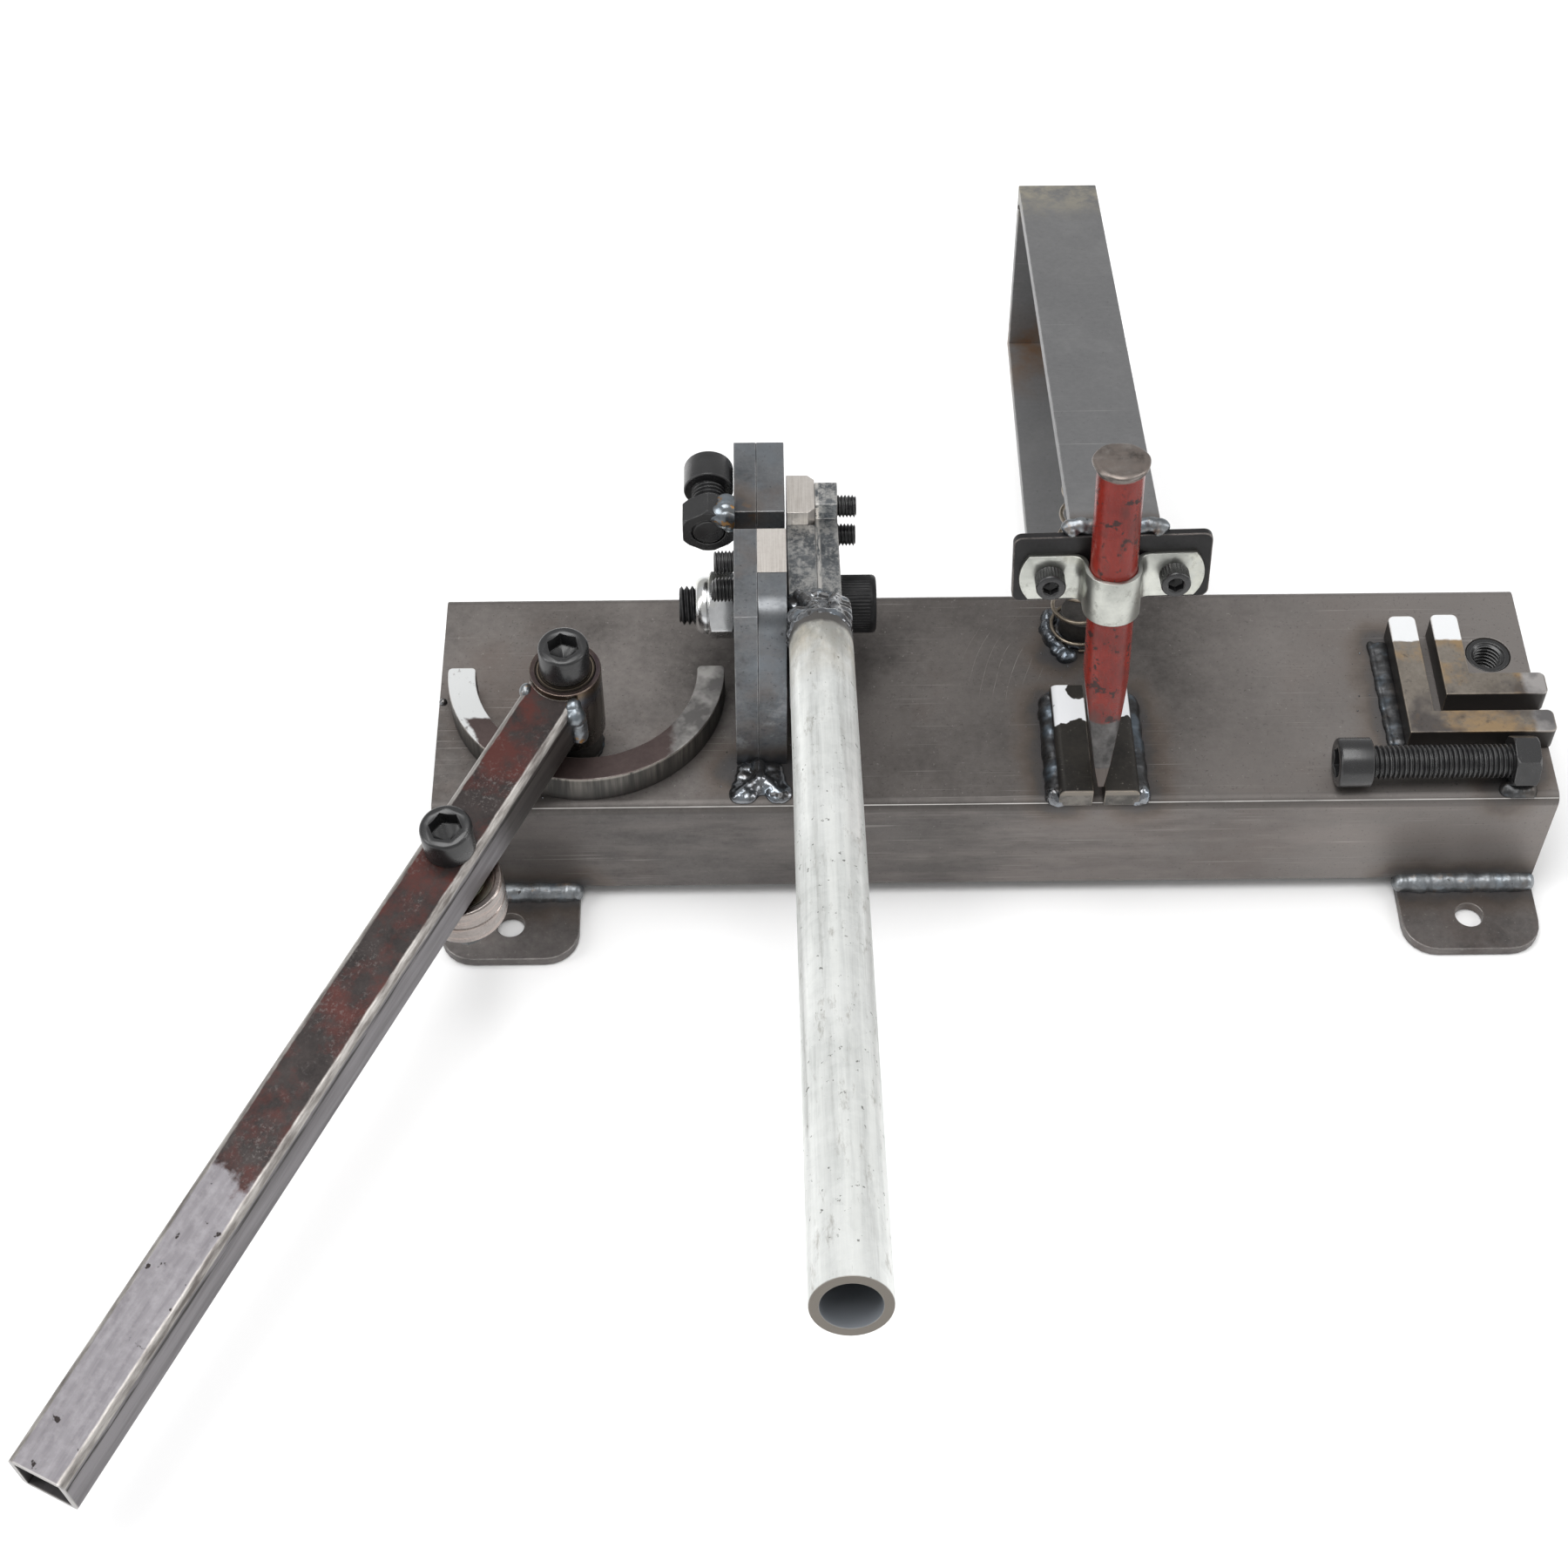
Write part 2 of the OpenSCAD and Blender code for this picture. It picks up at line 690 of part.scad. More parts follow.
module base_welds() {
    foot_x = base_l / 2 - foot_w;
    frame_weld_x = frame_x - frame_left_t;
    frame_weld_l = frame_left_t + frame_right_t;
    frame_end = frame_front + frame_foot;
    back_slope = (mouth_back + back_l - frame_end) / back_low;
    back_bead = base_back - frame_end;
    post_blob = [-10.5, -13.5];
    color([0.45, 0.46, 0.48]) {
        for (x = [-base_l / 2 + 1, foot_x + 1])
            for (side = [-1, 1])
                weld_along_x(x, foot_w - 2, side * base_w / 2, foot_t, foot_bead, foot_bead, side);
        difference() {
            at_bender() weld_ring(boss_d / 2, boss_bead);
            at_bender()
                translate([arc_dx, arc_dy, -1])
                    difference() {
                        cylinder(h = arc_h, r = arc_r);
                        translate([0, 0, -1]) cylinder(h = arc_h + 2, r = arc_r - arc_w - press_gap);
                    }
        }
        weld_along_x(frame_weld_x, frame_weld_l, frame_front, deck, frame_bead, 0.6 * frame_bead, -1);
        translate([frame_weld_x + 1, frame_end, deck])
            rotate([90, 0, 90])
                linear_extrude(frame_weld_l - 2)
                    polygon([[0, 0], [back_bead, 0], 0.9 * back_bead * [1, 1 / back_slope]]);
        weld_along_y(slot_x - slot_w / 2 - slot_left_w, slot_front + 4, slot_l - 8, deck, slot_bead_left, slot_bead, -1);
        weld_along_y(slot_x + slot_w / 2 + slot_right_w, slot_front + 4, slot_l - 8, deck, slot_bead_right, slot_bead, 1);
        weld_along_y(outer_x, outer_y + 4, outer_leg - 9, deck, angle_bead, 0.8 * angle_bead, -1);
        translate([spring_x, spring_y, deck]) weld_ring(post_d / 2, post_bead);
        translate([spring_x, spring_y, deck] + [post_blob[0], post_blob[1], 0])
            rotate_extrude()
                polygon([[0, 0], [4.2, 0], [3.8, 1.5], [2.6, 2.8], [0, 3.4]]);
        translate([bend_nut_left + 0.5, bend_y, deck])
            rotate([90, 0, 90])
                linear_extrude(bend_nut_h - 1)
                    polygon([[nut_seat_back, 0], [nut_toe, 0], [0.9 * nut_toe, bend_z - deck + nut_back[1]], lift(nut_back)]);
        translate([bend_nut_left + 2, bend_y, deck])
            rotate([90, 0, 90])
                linear_extrude(bend_nut_h - 3)
                    polygon([[nut_seat_front, 0], [-nut_toe / 2 - 1.9, 0], [-nut_toe / 2 - 2.2, 2.2], lift((nut_front + nut_low) / 2)]);
        translate([stop_x + nut_af / 2, stop_y + 0.5, stop_z])
            rotate([90, 0, 0])
                mirror([0, 0, 1])
                    linear_extrude(nut_h - 1)
                        polygon([for (p = nut_fillet(6, 6)) [-p[1], p[0]]]);
        weld_along_x(arm_from_middle - bar_w / 2 + 2, bar_w - 4, base_back, deck - bar_t, bar_t, -bar_t, 1);
    }
}

module bender_former() {
    color([0.36, 0.28, 0.26])
        at_bender()
            translate([arc_dx, arc_dy, 0])
                difference() {
                    cylinder(h = arc_h, r = arc_r, $fn = 128);
                    translate([0, 0, -1])
                        cylinder(h = arc_h + 2, r = arc_r - arc_w, $fn = 128);
                    translate([-arc_r - 1, arc_over, -1])
                        cube([2 * arc_r + 2, arc_r + 1, arc_h + 2]);
                }
}

module pivot_boss() {
    color([0.33, 0.32, 0.32])
        at_bender()
            difference() {
                cylinder(h = boss_h, d = boss_d);
                translate([0, 0, -1])
                    cylinder(h = boss_h + 2, d = screw_d + 2 * press_gap);
            }
}

module pivot_sleeve() {
    color([0.55, 0.53, 0.50])
        at_bender()
            translate([0, 0, boss_h])
                difference() {
                    cylinder(h = sleeve_l, d = sleeve_d);
                    translate([0, 0, -1])
                        cylinder(h = sleeve_l + 2, d = screw_d + 2 * press_gap);
                }
}

module pivot_screw() {
    color([0.16, 0.16, 0.17])
        translate([bender_x, bender_y, sleeve_top])
            rotate([0, 0, 12])
                socket_screw(screw_d, pivot_screw_l, screw_head_d, screw_head_h, screw_key, screw_key_depth);
}

// The space between the boss and the screw head that the lever's hub turns in
module hub(d_out, d_in) {
    at_bender()
        translate([0, 0, boss_h + end_play])
            difference() {
                cylinder(h = sleeve_l - 2 * end_play, d = d_out);
                translate([0, 0, -1])
                    cylinder(h = sleeve_l + 2, d = d_in);
            }
}

module lever_housing() {
    color([0.38, 0.33, 0.30]) hub(housing_d, housing_bore_d);
}

module pivot_bush() {
    color([0.45, 0.40, 0.34]) hub(housing_bore_d - 2 * press_gap, sleeve_d + 2 * run_gap);
}

module bender_lever() {
    color([0.34, 0.27, 0.25])
        difference() {
            at_lever()
                translate([0, 0, -lever_size / 2])
                    rotate([90, 0, 90])
                        linear_extrude(lever_reach)
                            difference() {
                                polygon(round_box(lever_size, lever_size, lever_r));
                                polygon(round_box(
                                    lever_size - 2 * lever_wall,
                                    lever_size - 2 * lever_wall,
                                    max(lever_r - lever_wall, 0.5)
                                ));
                            }
            at_bender()
                cylinder(h = lever_rise + lever_size, d = housing_d + 2 * press_gap);
            at_roller()
                translate([0, 0, -lever_size - 1])
                    cylinder(h = lever_size + 2, d = screw_d + 2 * press_gap);
        }
}

module lever_welds() {
    color([0.48, 0.48, 0.50])
        difference() {
            for (side = [-1, 1])
                at_lever()
                    translate([housing_d / 2 - 4.6, side * lever_size / 2, -lever_size + 1])
                        linear_extrude(lever_size - 2)
                            polygon([[0, 0], [7.4, 0], [6, side * 0.9], [3.6, side * 1.5], [0, side * 1.6]]);
            at_bender()
                cylinder(h = lever_rise + lever_size, d = housing_d + 2 * press_gap);
        }
}

module roller_screw() {
    color([0.16, 0.16, 0.17])
        at_roller()
            rotate([0, 0, 20])
                socket_screw(screw_d, roller_screw_l, screw_head_d, screw_head_h, screw_key, screw_key_depth);
}

// The roller's stack hangs below the lever tube: washer, two bearings, nut
module below_lever(drop) {
    at_roller() translate([0, 0, -lever_size - drop]) children();
}

module roller_washer() {
    color([0.62, 0.62, 0.62])
        below_lever(roller_washer_t)
            difference() {
                cylinder(h = roller_washer_t, d = roller_washer_d);
                translate([0, 0, -1])
                    cylinder(h = roller_washer_t + 2, d = bearing_bore_d);
            }
}

module roller_nut() {
    color([0.20, 0.20, 0.21])
        below_lever(roller_washer_t + 2 * bearing_w + nut_h)
            nut(nut_af, nut_h, bearing_bore_d);
}

// Moves to the bottom of the bearing given, 1 for the upper and 2 for the lower
module at_bearing(i) {
    below_lever(roller_washer_t + i * bearing_w) children();
}

module bearing_inner_rings() {
    color([0.72, 0.72, 0.72])
        for (i = [1, 2])
            at_bearing(i)
                rotate_extrude()
                    difference() {
                        polygon([
                            [bearing_bore_d / 2, 0], [inner_ring_r, 0],
                            [inner_ring_r, bearing_w], [bearing_bore_d / 2, bearing_w]
                        ]);
                        translate([ball_track_r, bearing_w / 2])
                            circle(r = ball_r + run_gap);
                    }
}

module bearing_balls() {
    color([0.80, 0.80, 0.80])
        for (i = [1, 2])
            at_bearing(i)
                for (k = [0:ball_count - 1])
                    rotate([0, 0, k * 360 / ball_count])
                        translate([ball_track_r, 0, bearing_w / 2])
                            sphere(r = ball_r);
}

// The outer ring of a bearing, with the two dust shields that it carries
module outer_ring() {
    rotate_extrude()
        difference() {
            polygon([
                [outer_ring_r, shield_in], [inner_ring_r + 0.3, shield_in],
                [inner_ring_r + 0.3, shield_in + shield_t], [outer_ring_r, shield_in + shield_t],
                [outer_ring_r, bearing_w - shield_in - shield_t],
                [inner_ring_r + 0.3, bearing_w - shield_in - shield_t],
                [inner_ring_r + 0.3, bearing_w - shield_in], [outer_ring_r, bearing_w - shield_in],
                [outer_ring_r, bearing_w], [bearing_d / 2 - 0.6, bearing_w],
                [bearing_d / 2, bearing_w - 0.6], [bearing_d / 2, 0.6],
                [bearing_d / 2 - 0.6, 0], [outer_ring_r, 0]
            ]);
            translate([ball_track_r, bearing_w / 2])
                circle(r = ball_r + run_gap);
        }
}

module roller_upper() {
    color([0.70, 0.69, 0.64]) at_bearing(1) outer_ring();
}

module roller_lower() {
    color([0.70, 0.70, 0.68]) at_bearing(2) outer_ring();
}

// Side outline of the frame plates behind the mouth and under it
function frame_back() = concat(
    quarter(mouth_front + mouth_r, deck + mouth_floor + mouth_r, mouth_r, 180),
    quarter(mouth_back - mouth_r, deck + mouth_floor + mouth_r, mouth_r, 270),
    [
        [mouth_back, deck + back_h],
        [mouth_back + back_l - 3, deck + back_h],
        [mouth_back + back_l, deck + back_h - 3],
        [mouth_back + back_l, deck + back_low],
        [frame_front + frame_foot, deck]
    ]
);

// Holes through a frame plate for the pivot bolt, the blade screws and the tie screw
module frame_holes(x, t) {
    x_cylinder(x - 1, t + 2, shear_pivot_y, shear_pivot_z, bolt_d + 2 * run_gap);
    for (down = [blade_hole_top, blade_hole_top + blade_hole_gap])
        x_cylinder(x - 1, t + 2, mouth_front - blade_hole_depth, frame_top - down,
            blade_screw_d + 2 * press_gap);
}

module shear_plate_left() {
    color([0.33, 0.33, 0.34])
        difference() {
            side_plate(frame_x - frame_left_t, frame_left_t)
                polygon(concat(
                    [[frame_front, deck], [frame_front, frame_top], [mouth_front, frame_top]],
                    frame_back()
                ));
            frame_holes(frame_x - frame_left_t, frame_left_t);
        }
}

module shear_plate_right() {
    pocket_front = mouth_front - blade_w - 2 * press_gap;
    color([0.32, 0.34, 0.36])
        difference() {
            side_plate(frame_x, frame_right_t)
                polygon(concat(
                    [[frame_front, deck]],
                    [for (i = [0:arc_steps]) [
                        frame_front + frame_corner_r * (1 - cos(90 * i / arc_steps)),
                        frame_top - frame_corner_r * (1 - sin(90 * i / arc_steps))
                    ]],
                    [
                        [pocket_front, frame_top],
                        [pocket_front, fixed_blade_bottom],
                        [mouth_front, fixed_blade_bottom]
                    ],
                    [[mouth_front, deck + mouth_floor]],
                    [for (p = frame_back()) if (p[0] > mouth_front + mouth_r) p]
                ));
            x_cylinder(frame_x - 1, frame_right_t + 2, shear_pivot_y, shear_pivot_z, bolt_d + 2 * run_gap);
        }
}

module fixed_blade() {
    color([0.66, 0.64, 0.60])
        difference() {
            translate([frame_x, mouth_front - blade_w, fixed_blade_bottom])
                cube([frame_right_t, blade_w, blade_l]);
            for (down = [blade_hole_top, blade_hole_top + blade_hole_gap])
                x_countersunk(frame_x - eps, frame_right_t + 2 * eps,
                    mouth_front - blade_hole_depth, frame_top - down,
                    blade_screw_d + 2 * press_gap, blade_screw_head_d + 2 * press_gap);
        }
}

// A countersunk screw along X, its flat head flush at the right-hand end
module countersunk_screw(x, l, y, z) {
    difference() {
        x_countersunk(x, l, y, z, blade_screw_d, blade_screw_head_d);
        translate([x + l - 2.5, y, z])
            rotate([0, 90, 0])
                hexagon(5, 3);
    }
}

module fixed_blade_screws() {
    l = blade_screw_out + frame_left_t + frame_right_t;
    color([0.17, 0.17, 0.18])
        for (down = [blade_hole_top, blade_hole_top + blade_hole_gap])
            countersunk_screw(frame_x + frame_right_t - l, l, mouth_front - blade_hole_depth, frame_top - down);
}

module shear_pivot_bolt() {
    l = lever_right_x - frame_x + frame_left_t + lock_h + lock_collar_h + bolt_out;
    color([0.17, 0.17, 0.18])
        translate([lever_right_x + bolt_play, shear_pivot_y, shear_pivot_z])
            rotate([0, 90, 0])
                socket_screw(bolt_d, l + bolt_play, bolt_head_d, bolt_head_h, bolt_key, bolt_head_h / 2);
}

module shear_pivot_nut() {
    bore = bolt_d + 2 * press_gap;
    color([0.78, 0.79, 0.80])
        translate([frame_x - frame_left_t, shear_pivot_y, shear_pivot_z])
            rotate([0, -90, 0]) {
                nut(lock_af, lock_h, bore);
                translate([0, 0, lock_h])
                    difference() {
                        cylinder(h = lock_collar_h, d1 = lock_collar_d, d2 = lock_collar_d - 2);
                        translate([0, 0, -1])
                            cylinder(h = lock_collar_h + 2, d = bore);
                    }
            }
}

module stop_nut() {
    color([0.19, 0.19, 0.20])
        translate([stop_x, stop_y, stop_z])
            rotate([-90, 0, 0])
                nut(nut_af, nut_h, screw_d + 2 * run_gap);
}

module stop_screw() {
    color([0.16, 0.16, 0.17])
        translate([stop_x, stop_y + stop_screw_l, stop_z])
            rotate([-90, 0, 0])
                socket_screw(screw_d, stop_screw_l, screw_head_d, screw_head_h, screw_key, screw_key_depth);
}

// Underside of a lever plate: round the pivot and forward to the front end
function plate_under(from) = concat(
    quarter(0, 0, plate_round, from, 285 - from),
    [[20, -17], [plate_reach, 5], [plate_reach, plate_top]]
);

module lever_plate_left() {
    blade_foot = blade_point(blade_w + 2 * press_gap, blade_l + press_gap);
    blade_root = blade_point(-press_gap, blade_l + press_gap);
    shoulder = (blade_n - plate_top) / cos(blade_lean);
    color([0.42, 0.42, 0.42])
        difference() {
            side_plate(lever_x, lever_left_t)
                polygon([
                    for (p = concat([blade_point(-press_gap, shoulder), blade_root, blade_foot], plate_under(165)))
                        lever_point(p[0], p[1])
                ]);
            x_cylinder(lever_x - 1, lever_left_t + 2, shear_pivot_y, shear_pivot_z, bolt_d + 2 * run_gap);
        }
}

// Places of the moving blade's two screws, as [y, z]
function moving_screws() = [
    for (down = [blade_hole_top, blade_hole_top + blade_hole_gap])
        let (p = blade_point(blade_hole_depth, down))
        lever_point(p[0], p[1])
];

module lever_plate_right() {
    color([0.36, 0.37, 0.38])
        difference() {
            side_plate(lever_mid_x, lever_right_t)
                polygon([
                    for (p = concat(
                        [[-4.2, plate_top], [-2.6, 40], [-12.9, 42.9], [-23.4, 34.5], [-28.9, 15.2]],
                        plate_under(170)
                    )) lever_point(p[0], p[1])
                ]);
            x_cylinder(lever_mid_x - 1, lever_right_t + 2, shear_pivot_y, shear_pivot_z, bolt_d + 2 * run_gap);
            for (p = moving_screws())
                x_cylinder(lever_mid_x - 1, lever_right_t + 2, p[0], p[1], blade_screw_d + 2 * press_gap);
        }
}

// Moves to the moving blade: first axis back from its front face, second to the right, third up to its top
module at_moving_blade() {
    corner = lever_point(blade_u, blade_n);
    translate([lever_x, corner[0], corner[1]])
        rotate([-(handle_rise - blade_lean), 0, 0])
            children();
}

module moving_blade() {
    color([0.68, 0.66, 0.63])
        difference() {
            at_moving_blade()
                translate([0, 0, -blade_l])
                    linear_extrude(blade_l)
                        polygon([
                            [0, 0], [lever_left_t - blade_chamfer, 0], [lever_left_t, blade_chamfer],
                            [lever_left_t, blade_w - blade_chamfer], [lever_left_t - blade_chamfer, blade_w],
                            [0, blade_w]
                        ]);
            for (p = moving_screws())
                moving_screw_shape(p, 1, 2 * press_gap);
        }
}

// A countersunk screw from the moving blade's left face, longer by more and wider by wider
module moving_screw_shape(p, more, wider) {
    l = lever_left_t + lever_right_t + blade_screw_out;
    translate([lever_x - eps * more, p[0], p[1]])
        mirror([1, 0, 0])
            x_countersunk(-l, l, 0, 0, blade_screw_d + wider, blade_screw_head_d + wider);
}

module moving_blade_screws() {
    color([0.17, 0.17, 0.18])
        for (p = moving_screws())
            difference() {
                moving_screw_shape(p, 0, 0);
                translate([lever_x - 1, p[0], p[1]])
                    rotate([0, 90, 0])
                        hexagon(5, 3.5);
            }
}

module handle_pipe() {
    color([0.66, 0.68, 0.68])
        at_shear()
            translate([plate_reach, pipe_x, pipe_axis])
                rotate([0, 90, 0])
                    difference() {
                        cylinder(h = pipe_l, d = pipe_d);
                        translate([0, 0, -1])
                            cylinder(h = pipe_l + 2, d = pipe_d - 2 * pipe_wall);
                    }
}

module handle_weld() {
    color([0.40, 0.40, 0.39])
        at_shear()
            intersection() {
                translate([plate_reach - handle_bead_l, pipe_x, pipe_axis])
                    rotate([0, 90, 0])
                        cylinder(h = handle_bead_l, d1 = pipe_d * 0.42, d2 = pipe_d);
                translate([plate_reach - handle_bead_l, lever_x, plate_top])
                    cube([handle_bead_l, lever_right_x - lever_x + pipe_offset, pipe_d]);
            }
}

module arm_lower_bar() {
    color([0.34, 0.34, 0.34])
        translate([arm_from_middle - bar_w / 2, base_back, deck - bar_t])
            cube([bar_w, arm_back, bar_t]);
}

module arm_upright() {
    under = arm_corner + bar_t * [-sin(arm_slope), -cos(arm_slope)];
    along = [-cos(arm_slope), sin(arm_slope)];
    color([0.33, 0.33, 0.33])
        side_plate(arm_from_middle - bar_w / 2, bar_w)
            polygon([
                [arm_foot_y - upright_t, deck], [arm_foot_y, deck], under, under + upright_t * along
            ]);
}

module arm_upper_bar() {
    color([0.35, 0.36, 0.37])
        at_arm()
            translate([-bar_w / 2, -arm_l, -bar_t])
                cube([bar_w, arm_l, bar_t]);
}

module arm_welds() {
    color([0.45, 0.44, 0.42]) {
        at_arm()
            translate([-bar_w / 2, -arm_l, -clamp_low - 0.1])
                rotate([90, 0, 90])
                    linear_extrude(bar_w + 3)
                        polygon([[0, 0.8], [0.8 - clamp_t, 0.8], [-0.6 * clamp_t, 0.7 * clamp_low], [0, clamp_low]]);
        at_arm()
            translate([-bar_w / 2 + 2, -upright_t, -bar_t])
                rotate([90, 0, 90])
                    linear_extrude(bar_w - 4)
                        polygon([[0, 0], [-5, 0], [-2.4, -1.6], [-0.6, -4]]);
    }
}

module clamp_plate() {
    color([0.30, 0.30, 0.30])
        at_clamp()
            translate([clamp_shift, -arm_l, -clamp_low - clamp_h / 2])
                rotate([90, 0, 0])
                    difference() {
                        linear_extrude(clamp_t)
                            polygon(round_box(clamp_w, clamp_h, clamp_r));
                        for (side = [-1, 1])
                            translate([side * clip_screw_gap / 2, clamp_low + clamp_h / 2 - clip_middle, -1])
                                cylinder(h = clamp_t + 2, d = clip_screw_d + 2 * press_gap);
                    }
}

// Outline of the clip seen from above: a band drawn round the chisel, with a flat ear at each side
function clip_outline(inner_r, outer_r, middle, face) = concat(
    [[-clip_w, face], [-clip_w, face - clip_t]],
    [[-outer_r - 3, face - clip_t], [-outer_r - 0.9, face - clip_t - 0.9]],
    [for (i = [0:2 * arc_steps]) let (a = 180 + 90 * i / arc_steps) [outer_r * cos(a), middle + outer_r * sin(a)]],
    [[outer_r + 0.9, face - clip_t - 0.9], [outer_r + 3, face - clip_t]],
    [[clip_w, face - clip_t], [clip_w, face], [inner_r, face]],
    [for (i = [0:2 * arc_steps]) let (a = 360 - 90 * i / arc_steps) [inner_r * cos(a), middle + inner_r * sin(a)]],
    [[-inner_r, face]]
);

// Outline of the clip's face: straight edges and shallow round ends
function clip_face() =
    let (
        swing = asin(clip_h / 2 / clip_end_r),
        middle = clip_w / 2 - clip_end_r
    )
    concat(quarter(middle, 0, clip_end_r, -swing, 2 * swing), quarter(-middle, 0, clip_end_r, 180 - swing, 2 * swing));

module chisel_clip() {
    inner_r = (chisel_d / 2 + 5 * press_gap) / cos(45 / arc_steps);
    face = -clamp_face;
    color([0.76, 0.77, 0.74])
        at_clamp()
            difference() {
                intersection() {
                    translate([0, 0, -clip_drop - clip_h])
                        linear_extrude(clip_h)
                            polygon(clip_outline(inner_r, inner_r + clip_t, -chisel_s, face));
                    translate([clamp_shift, face + 1, -clip_middle])
                        rotate([90, 0, 0])
                            linear_extrude(chisel_d + 2 * clip_t + 4)
                                polygon(clip_face());
                }
                for (side = [-1, 1])
                    translate([clamp_shift + side * clip_screw_gap / 2, face + 1, -clip_middle])
                        rotate([90, 0, 0])
                            cylinder(h = clip_t + 2, d = clip_screw_d + 2 * press_gap);
            }
}

module clip_screws() {
    color([0.16, 0.16, 0.17])
        at_clamp()
            for (side = [-1, 1])
                translate([clamp_shift + side * clip_screw_gap / 2, -clamp_face - clip_t, -clip_middle])
                    rotate([90, 0, 0])
                        socket_screw(clip_screw_d, clip_screw_l, clip_screw_head_d, clip_screw_head_h,
                            clip_screw_key, clip_screw_head_h / 2);
}

module chisel() {
    r = chisel_d / 2;
    slope = (r - chisel_edge / 2) / chisel_taper;
    color([0.55, 0.16, 0.12])
        at_clamp()
            translate([0, -chisel_s, 0])
                intersection() {
                    rotate_extrude()
                        polygon([
                            [0, -chisel_below], [r, -chisel_below], [r, chisel_above - 3.6],
                            [chisel_head_d / 2, chisel_above - 1.8], [chisel_head_d / 2, chisel_above - 0.8],
                            [chisel_head_d / 2 - 0.8, chisel_above], [0, chisel_above]
                        ]);
                    translate([0, chisel_d, 0])
                        rotate([90, 0, 0])
                            linear_extrude(2 * chisel_d)
                                polygon([
                                    [-chisel_edge / 2, -chisel_below - eps],
                                    [chisel_edge / 2, -chisel_below - eps],
                                    [r + chisel_taper * slope, -chisel_below + 2 * chisel_taper],
                                    [r + chisel_taper * slope, chisel_above + 1],
                                    [-r - chisel_taper * slope, chisel_above + 1],
                                    [-r - chisel_taper * slope, -chisel_below + 2 * chisel_taper]
                                ]);
                }
}

module spring_post() {
    color([0.35, 0.34, 0.33])
        translate([spring_x, spring_y, deck])
            cylinder(h = post_h, d = post_d);
}

// Return spring: its middle line climbs with close end curls and an open middle
spring_x = arm_from_middle + 1.5;
spring_foot = deck + spring_wire / 2;
arm_under_z = arm_corner[1] + (arm_corner[0] - spring_y) * tan(arm_slope) - bar_t / cos(arm_slope);
spring_head = arm_under_z - spring_wire / 2 / cos(arm_slope);
spring_rise = spring_head - spring_foot;
spring_mid_pitch = (spring_rise - 2 * spring_end_pitch) / (spring_turns - 2);
spring_rings = 8;
wire_sides = 6;

// Height of the middle line after t curls, before the tilt of the upper curls
function spring_climb(t) =
    t < 1 ? spring_end_pitch * t * t / 2 + spring_end_pitch * t / 2
    : t > spring_turns - 1
        ? spring_rise - spring_climb(spring_turns - t)
        : spring_end_pitch + spring_mid_pitch * (t - 1);

// Point of the middle line after t curls: the upper curls lean with the arm
function spring_point(t) =
    let (
        a = 360 * t - 90,
        lean = pow(t / spring_turns, 3),
        y = spring_r * sin(a)
    )
    [spring_x - spring_shift * t / spring_turns + spring_r * cos(a), spring_y + y, spring_foot + spring_climb(t) - lean * y * tan(arm_slope)];

// The ends run straight for one wire's width
spring_ts = [for (i = [0:spring_turns * spring_rings]) i / spring_rings];
spring_start = spring_point(0) - spring_wire * [1, 0, 0];
spring_end = spring_point(spring_turns) + spring_wire * [1, 0, 0];
spring_line = concat([spring_start], [for (t = spring_ts) spring_point(t)], [spring_end]);
spring_last = len(spring_line) - 1;

function unit(v) = v / norm(v);

function spring_direction(i) =
    i == 0 ? unit(spring_line[1] - spring_line[0])
    : i == spring_last ? unit(spring_line[i] - spring_line[i - 1])
    : unit(unit(spring_line[i + 1] - spring_line[i]) + unit(spring_line[i] - spring_line[i - 1]));

// One ring of the wire: across is level, over is square to it and to the wire
function wire_ring(i) =
    let (
        along = spring_direction(i),
        across = unit(cross(along, [0, 0, 1])),
        over = cross(across, along)
    )
    [for (k = [0:wire_sides - 1])
        spring_line[i] + spring_wire / 2 * (cos(60 * k) * across + sin(60 * k) * over)];

spring_points = [for (i = [0:spring_last]) each wire_ring(i)];
spring_sides = [
    for (i = [0:spring_last - 1])
        for (k = [0:wire_sides - 1])
            let (
                a = i * wire_sides + k,
                b = i * wire_sides + (k + 1) % wire_sides
            )
            each [[a, b, b + wire_sides], [a, b + wire_sides, a + wire_sides]]
];
spring_caps = [
    for (k = [1:wire_sides - 2])
        each [
            [0, k + 1, k],
            [spring_last * wire_sides, spring_last * wire_sides + k, spring_last * wire_sides + k + 1]
        ]
];

// Least gap between neighbouring curls, from the middle line less the wire
spring_near = [
    for (i = [0:spring_last])
        for (j = [i + 5:spring_last])
            norm(spring_line[i] - spring_line[j]) - spring_wire
];
echo(spring_least_gap = min(spring_near));

module return_spring() {
    color([0.46, 0.40, 0.33])
        polyhedron(points = spring_points, faces = concat(spring_sides, spring_caps));
}

// A die block of the slotted die, from x over the width w, round at its outer top edge on the given side
module slot_block(x, w, side) {
    translate([x + w / 2, slot_front, deck])
        mirror([0, 1, 0])
            rotate([90, 0, 0])
                linear_extrude(slot_l)
                    polygon([
                        for (p = concat(
                            [[-w / 2, 0], [w / 2, 0]],
                            quarter(w / 2 - slot_r, slot_h - slot_r, slot_r, 0),
                            [[-w / 2, slot_h]]
                        )) [side * p[0], p[1]]
                    ]);
}

module slot_die_left() {
    color([0.33, 0.32, 0.31]) slot_block(slot_x - slot_w / 2 - slot_left_w, slot_left_w, -1);
}

module slot_die_right() {
    color([0.33, 0.32, 0.31]) slot_block(slot_x + slot_w / 2, slot_right_w, 1);
}

